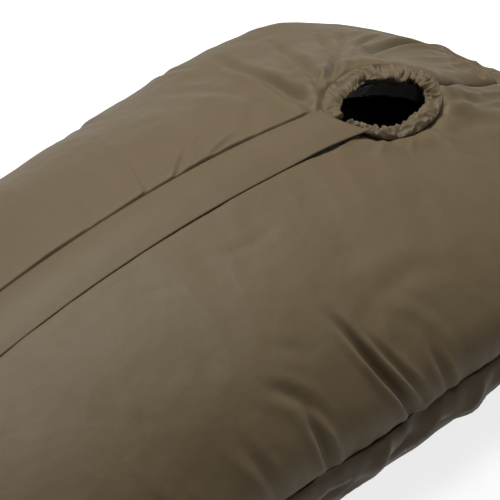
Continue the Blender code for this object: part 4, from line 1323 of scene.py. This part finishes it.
class StormFlap:
    """The flap over the zip: sewn along its far edge, free along its near edge."""

    def __init__(self, form: BagForm, ring: FaceRing, finishes: Finishes) -> None:
        """Take the flap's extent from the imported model."""
        self.form = form
        self.ring = ring
        self.finishes = finishes
        self.rough = Unevenness(53)
        low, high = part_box("zip_flap")
        self.foot = low.x
        self.split = high.x
        self.free, self.sewn = low.y, high.y
        self.thick = 0.0016

    def lift(self, x: Array, u: Array) -> Array:
        """Height of the flap's underside: a low arch over the slider, raised at its head corner.

        Args:
            x: place along the bag.
            u: place across, 0 at the free edge and 1 at the sewn edge.

        Returns:
            Heights over the panel.
        """
        arch = (4 * u * (1 - u)) ** 1.25 * (1 + 0.45 * bell(x + 0.455, 0.060))
        rest = 0.0007 * (1 - u) + 0.0006 * u
        slack = 0.0006 * self.rough.at(x, u, (0.045, 0.45)) + 0.0010 * self.rough.at(x, u + 5, (0.16, 0.8))
        corner = 0.0044 * ease((x - 0.40) / 0.14) * (1 - u) ** 1.6
        wave = 0.0006 * self.rough.at(x, 3.0, (0.09, 1.0)) * (1 - u) ** 2
        laid = rest + 0.0056 * arch + slack * ease(4 * u) * ease(5 * (1 - u))
        return laid + corner + wave + 0.0008 * (1 - u)

    def surface(self, x: Array, u: Array, above: float = 0.0) -> Array:
        """Points of the flap's underside, moved outwards by a distance.

        Args:
            x: place along the bag.
            u: place across, 0 at the free edge and 1 at the sewn edge.
            above: distance outwards from the underside.

        Returns:
            Points.
        """
        y = self.free + (self.sewn - self.free) * u
        ground = np.stack(np.broadcast_arrays(x, y, self.form.height(x, y)), -1)
        return ground + self.form.arc_up(x + 0 * u) * (self.lift(x, u) + above)[..., None]

    def end(self, u: Array) -> Array:
        """Where the flap ends at its head: along the hem's sewn edge."""
        y = self.free + (self.sewn - self.free) * u
        long, short = self.ring.long + self.ring.half, self.ring.short + self.ring.half
        centre = self.ring.centre[0] - 0.004
        return centre - (long * 0.965) * np.sqrt(np.clip(1 - (y / short) ** 2, 0.0, 1.0)) + 0.0035

    def strip(self, ends: tuple[float, float], u: Array, above: Array, count: int) -> Array:
        """Grid of a strip of the flap that follows its shaped end.

        Args:
            ends: shares of the flap's length at which the strip begins and ends.
            u: place across of each column.
            above: distance outwards of each column.
            count: number of rows.

        Returns:
            Grid of points.
        """
        share = np.linspace(*ends, count)[:, None]
        x = self.foot + (self.end(u)[None] - self.foot) * share
        y = self.free + (self.sewn - self.free) * u[None]
        ground = np.stack(np.broadcast_arrays(x, y, self.form.height(x, y + 0 * x)), -1)
        return ground + self.form.arc_up(x) * (self.lift(x, u[None] + 0 * x) + above[None])[..., None]

    def cloth(self) -> Object:
        """The flap in one length: a flat tube of cloth with closed, rounded edges."""
        u = np.linspace(0.0, 1.0, 31)
        fall = np.clip(1 - (1 - np.clip(u / 0.012, 0, 1)) ** 2, 0, 1) ** 0.5
        top = self.thick * (0.5 + 0.5 * fall) + 0.0003 * np.exp(-u / 0.02)
        low = self.thick * (0.5 - 0.5 * fall)
        sink = -0.0035 * ease((u - 0.965) / 0.035)
        across = np.concatenate([u, u[::-1][1:-1]])
        above = np.concatenate([top + sink, (low + sink - 0.0006 * ease((u - 0.96) / 0.04))[::-1][1:-1]])
        points = self.strip((0.0, 1.0), across, above, 330)
        columns = len(across)
        middle = (points + points[:, (-np.arange(columns)) % columns]) / 2
        closed = np.concatenate([middle[:1], points, middle[-1:]])
        chart = (np.linspace(0.0, 1.12, len(closed)), np.linspace(0.0, 0.2, columns))
        item = grid_object("storm_flap", closed, chart, (False, True))
        settle(item, self.finishes.shell, ("zip_flap", "zip_flap_tab"), None)
        self.bend(item)
        return item

    def bend(self, item: Object) -> Object:
        """Bake a piece's transform into its mesh; the two points on the arc either side of the split are found but
        not used.
        """
        x = np.array([self.split - 0.075, self.split + 0.055])
        start, end = self.form.on_arc(x, 0.0, 0.0)
        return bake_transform(item)

    def stitching(self) -> None:
        """Rows beside the hook tape and along the free edge, and one along the sewn edge."""
        count = 600
        runs = {"flap_stitching_tape": ((0.825, 0.990), 0.235), "flap_stitching_hem": ((0.825, 0.990), 0.035),
                "flap_stitching_seam": ((0.004, 0.985), 0.955)}
        for name, (ends, across) in runs.items():
            u = np.array([across, across + 0.01])
            pair = self.strip(ends, u, np.full(2, self.thick + 0.0001), count)
            path = pair[:, 0]
            item = stitches(name, path, self.form.arc_up(path[:, 0]))
            self.bend(settle(item, self.finishes.thread, (), None))

    def tapes(self) -> None:
        """Loop tape on the near panel and hook tape under the flap."""
        pair = (("loop_tape", "flap_loop_tape", "bag"), ("hook_tape", "flap_hook_tape", "flap_top"))
        for name, node, body in pair:
            low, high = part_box(node)
            u = (np.linspace(low.y, high.y, 15) - self.free) / (self.sewn - self.free)
            x = np.linspace(low.x, high.x, 90)[:, None]
            edge = np.minimum(np.arange(15), np.arange(15)[::-1])
            thick = 0.0009 * np.clip(edge, 0.15, 1.0)[None]
            if body == "bag":
                y = self.free + (self.sewn - self.free) * u[None]
                ground = np.stack(np.broadcast_arrays(x, y, self.form.height(x, y + 0 * x)), -1)
                up = self.form.arc_up(x + 0 * y)
                upper, lower = ground + up * (thick - 0.0009)[..., None], ground - up * 0.0016
            else:
                lower = self.surface(x, u[None] + 0 * x, 0.0) - self.form.arc_up(x + 0 * u) * thick[..., None]
                upper = self.surface(x, u[None] + 0 * x, 0.0003)
            loop = np.concatenate([upper, lower[:, ::-1]], 1)
            closed = np.concatenate([(upper[:1] + lower[:1]) / 2, (upper[:1] + lower[:1])[:, ::-1] / 2], 1)
            last = np.concatenate([(upper[-1:] + lower[-1:]) / 2, (upper[-1:] + lower[-1:])[:, ::-1] / 2], 1)
            grid = np.concatenate([closed, loop, last])
            chart = (np.linspace(0.0, 0.15, 92), np.linspace(0.0, 0.04, 30))
            item = grid_object(name, grid, chart, (False, True))
            settle(item, self.finishes.pile, (node,), body)

    def build(self) -> None:
        """Make the flap, its stitches and its tapes."""
        self.cloth()
        self.stitching()
        self.tapes()


class Zip:
    """Tapes, coils, stops, slider and pulls."""

    def __init__(self, form: BagForm, finishes: Finishes, nodes: Mapping[str, Object]) -> None:
        """Take the zip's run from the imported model."""
        self.form = form
        self.finishes = finishes
        self.nodes = nodes
        low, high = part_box("zip_coil_left")
        self.run = (low.x, high.x)
        self.pitch = 0.0015

    def coil(self, side: float, hand: str) -> Object:
        """One row of coil: three-sided loops that bend round between the tapes.

        Args:
            side: -1 for the near row, 1 for the far row.
            hand: the CAD node's hand.

        Returns:
            The row.
        """
        at = np.arange(self.run[0], self.run[1], self.pitch) + (self.pitch / 2 if side > 0 else 0.0)
        turn = np.linspace(0.0, np.pi, 6)
        path = np.stack([np.linspace(-0.0005, 0.0005, 6), side * (0.0034 - 0.0032 * np.sin(turn)),
                         -0.0055 + 0.0017 * np.cos(turn)], -1)
        grid = tube_grid(path, 0.00042, 3, np.array([1.0, 0.0, 0.0]))
        faces = [(r * 3 + c, (r + 1) * 3 + c, (r + 1) * 3 + (c + 1) % 3, r * 3 + (c + 1) % 3)
                 for r in range(5) for c in range(3)]
        up = self.form.arc_up(at)
        lead = np.stack([up[:, 2], np.zeros(len(at)), -up[:, 0]], -1)
        frames = np.stack([lead, np.broadcast_to([0.0, 1.0, 0.0], up.shape), up], 1)
        item = repeat_object(f"zip_coil_loops_{hand}", grid.reshape(-1, 3), np.array(faces),
                             self.form.on_arc(at, 0.0, 0.0), frames)
        return settle(item, self.finishes.coil, (f"zip_coil_{hand}",))

    def tape(self, side: float, hand: str) -> Object:
        """One woven tape, a flat closed tube with a corded edge beside the coil.

        Args:
            side: -1 for the near tape, 1 for the far tape.
            hand: the CAD node's hand.

        Returns:
            The tape.
        """
        low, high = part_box(f"zip_tape_{hand}")
        x = np.linspace(low.x, high.x, 300)[:, None]
        turn = np.linspace(0.0, 2 * np.pi, 24, endpoint=False)[None]
        inner, outer = 0.0037, 0.0185
        y = (inner + outer) / 2 + (outer - inner) / 2 * np.sign(np.cos(turn)) * np.abs(np.cos(turn)) ** 0.5
        edge = 0.00045 + 0.00035 * bell(y - inner, 0.0015)
        lift = -0.0056 + edge * np.sign(np.sin(turn)) * np.abs(np.sin(turn)) ** 0.35
        points = self.form.on_arc(x, side * y + 0 * x, lift + 0 * x)
        for row in (0, -1):
            points[row] = points[row].mean(axis=0)
        chart = (x[:, 0], np.linspace(0.0, 0.03, 24))
        item = grid_object(f"zip_tape_woven_{hand}", points, chart, (False, True), flip=side > 0)
        return settle(item, self.finishes.tape, (f"zip_tape_{hand}",))

    def build(self) -> None:
        """Make both sides of the zip and dress the metal pieces."""
        for side, hand in ((-1.0, "left"), (1.0, "right")):
            self.coil(side, hand)
            self.tape(side, hand)
        for name in ("zip_slider", "zip_pull_outer", "zip_pull_inner", "zip_bottom_stop", "zip_top_stop_left",
                     "zip_top_stop_right"):
            self.nodes[name].data.materials.clear()
            self.nodes[name].data.materials.append(self.finishes.metal)


# ---- studio -----------------------------------------------------------------
@dataclass(frozen=True)
class Lamp:
    """A soft rectangular light, aimed at the bag."""

    name: str
    place: tuple[float, float, float]
    power: float
    size: float

    def make(self, aim: Array) -> None:
        """Make the light and turn it to the aim."""
        data = bpy.data.lights.new(self.name, "AREA")
        data.energy = self.power
        data.size = self.size
        item = bpy.data.objects.new(self.name, data)
        bpy.context.scene.collection.objects.link(item)
        item.location = self.place
        away = np.array(self.place) - aim
        item.rotation_euler = (math.atan2(math.hypot(away[0], away[1]), away[2]), 0.0,
                               math.atan2(away[0], -away[1]))


@dataclass(frozen=True)
class Studio:
    """Camera, pale floor and soft lights."""

    azimuth: float = math.radians(-47.95)
    elevation: float = math.radians(38.51)
    distance: float = 5.14
    lens: float = 243.4
    target: tuple[float, float, float] = (0.4085, 0.0, 0.2345)
    lamps: tuple[Lamp, ...] = (
        Lamp("key_light", (1.0, 1.3, 3.5), 255.0, 0.9),
        Lamp("fill_light", (-1.0, -3.0, 3.4), 30.0, 0.8),
        Lamp("top_light", (0.8, -0.6, 4.0), 85.0, 1.6),
    )

    def camera(self) -> None:
        """The camera, on a sphere round its target."""
        a, e = self.azimuth, self.elevation
        back = np.array([math.sin(a) * math.cos(e), -math.cos(a) * math.cos(e), math.sin(e)])
        data = bpy.data.cameras.new("studio_camera")
        data.lens = self.lens
        data.clip_end = 200.0
        item = bpy.data.objects.new("studio_camera", data)
        bpy.context.scene.collection.objects.link(item)
        item.location = np.array(self.target) + back * self.distance
        item.rotation_euler = (math.pi / 2 - e, 0.0, a)
        bpy.context.scene.camera = item

    def floor(self) -> None:
        """A wide pale floor that glows a little, so that it reads as a white sweep."""
        g = Graph("pale_floor")
        tone = g.noise(g.place(), 0.8, 2.0)
        colour = g.blend(tone, (0.24, 0.24, 0.24), (0.26, 0.26, 0.26))
        material = g.finish({"Base Color": colour, "Roughness": 0.9,
                             "Emission Color": (1.0, 1.0, 1.0, 1.0), "Emission Strength": 0.78})
        corners = np.array([(-30.0, -30.0, 0.0), (30.0, -30.0, 0.0), (30.0, 30.0, 0.0), (-30.0, 30.0, 0.0)])
        item = mesh_object("pale_floor", corners, [(0, 1, 2, 3)])
        item.data.materials.append(material)

    def world(self) -> None:
        """A plain pale surround."""
        world = bpy.data.worlds.new("studio_surround")
        bpy.context.scene.world = world
        world.use_nodes = True
        background = world.node_tree.nodes["Background"]
        background.inputs["Color"].default_value = (1.0, 1.0, 1.0, 1.0)
        background.inputs["Strength"].default_value = 0.10

    def build(self) -> None:
        """Set the studio up."""
        self.camera()
        self.floor()
        self.world()
        for lamp in self.lamps:
            lamp.make(np.array(self.target))
        bpy.context.scene.view_settings.view_transform = "Standard"


def corners(box: object) -> list[list[float]]:
    """A box's two corners as plain lists."""
    return [[float(v) for v in corner] for corner in box]


def main() -> None:
    """Load the frame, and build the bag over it."""
    logging.basicConfig(level=logging.INFO, format="%(name)s %(message)s")
    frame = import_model()
    finishes = Finishes.make()
    form, ring = BagForm.from_frame(), FaceRing()
    Studio().build()
    Panels(form, ring, finishes).build()
    Lining(form, ring, finishes).build()
    HoodHem(form, ring, finishes).build()
    StormFlap(form, ring, finishes).build()
    Zip(form, finishes, frame["nodes"]).build()


if __name__ == "__main__":
    main()
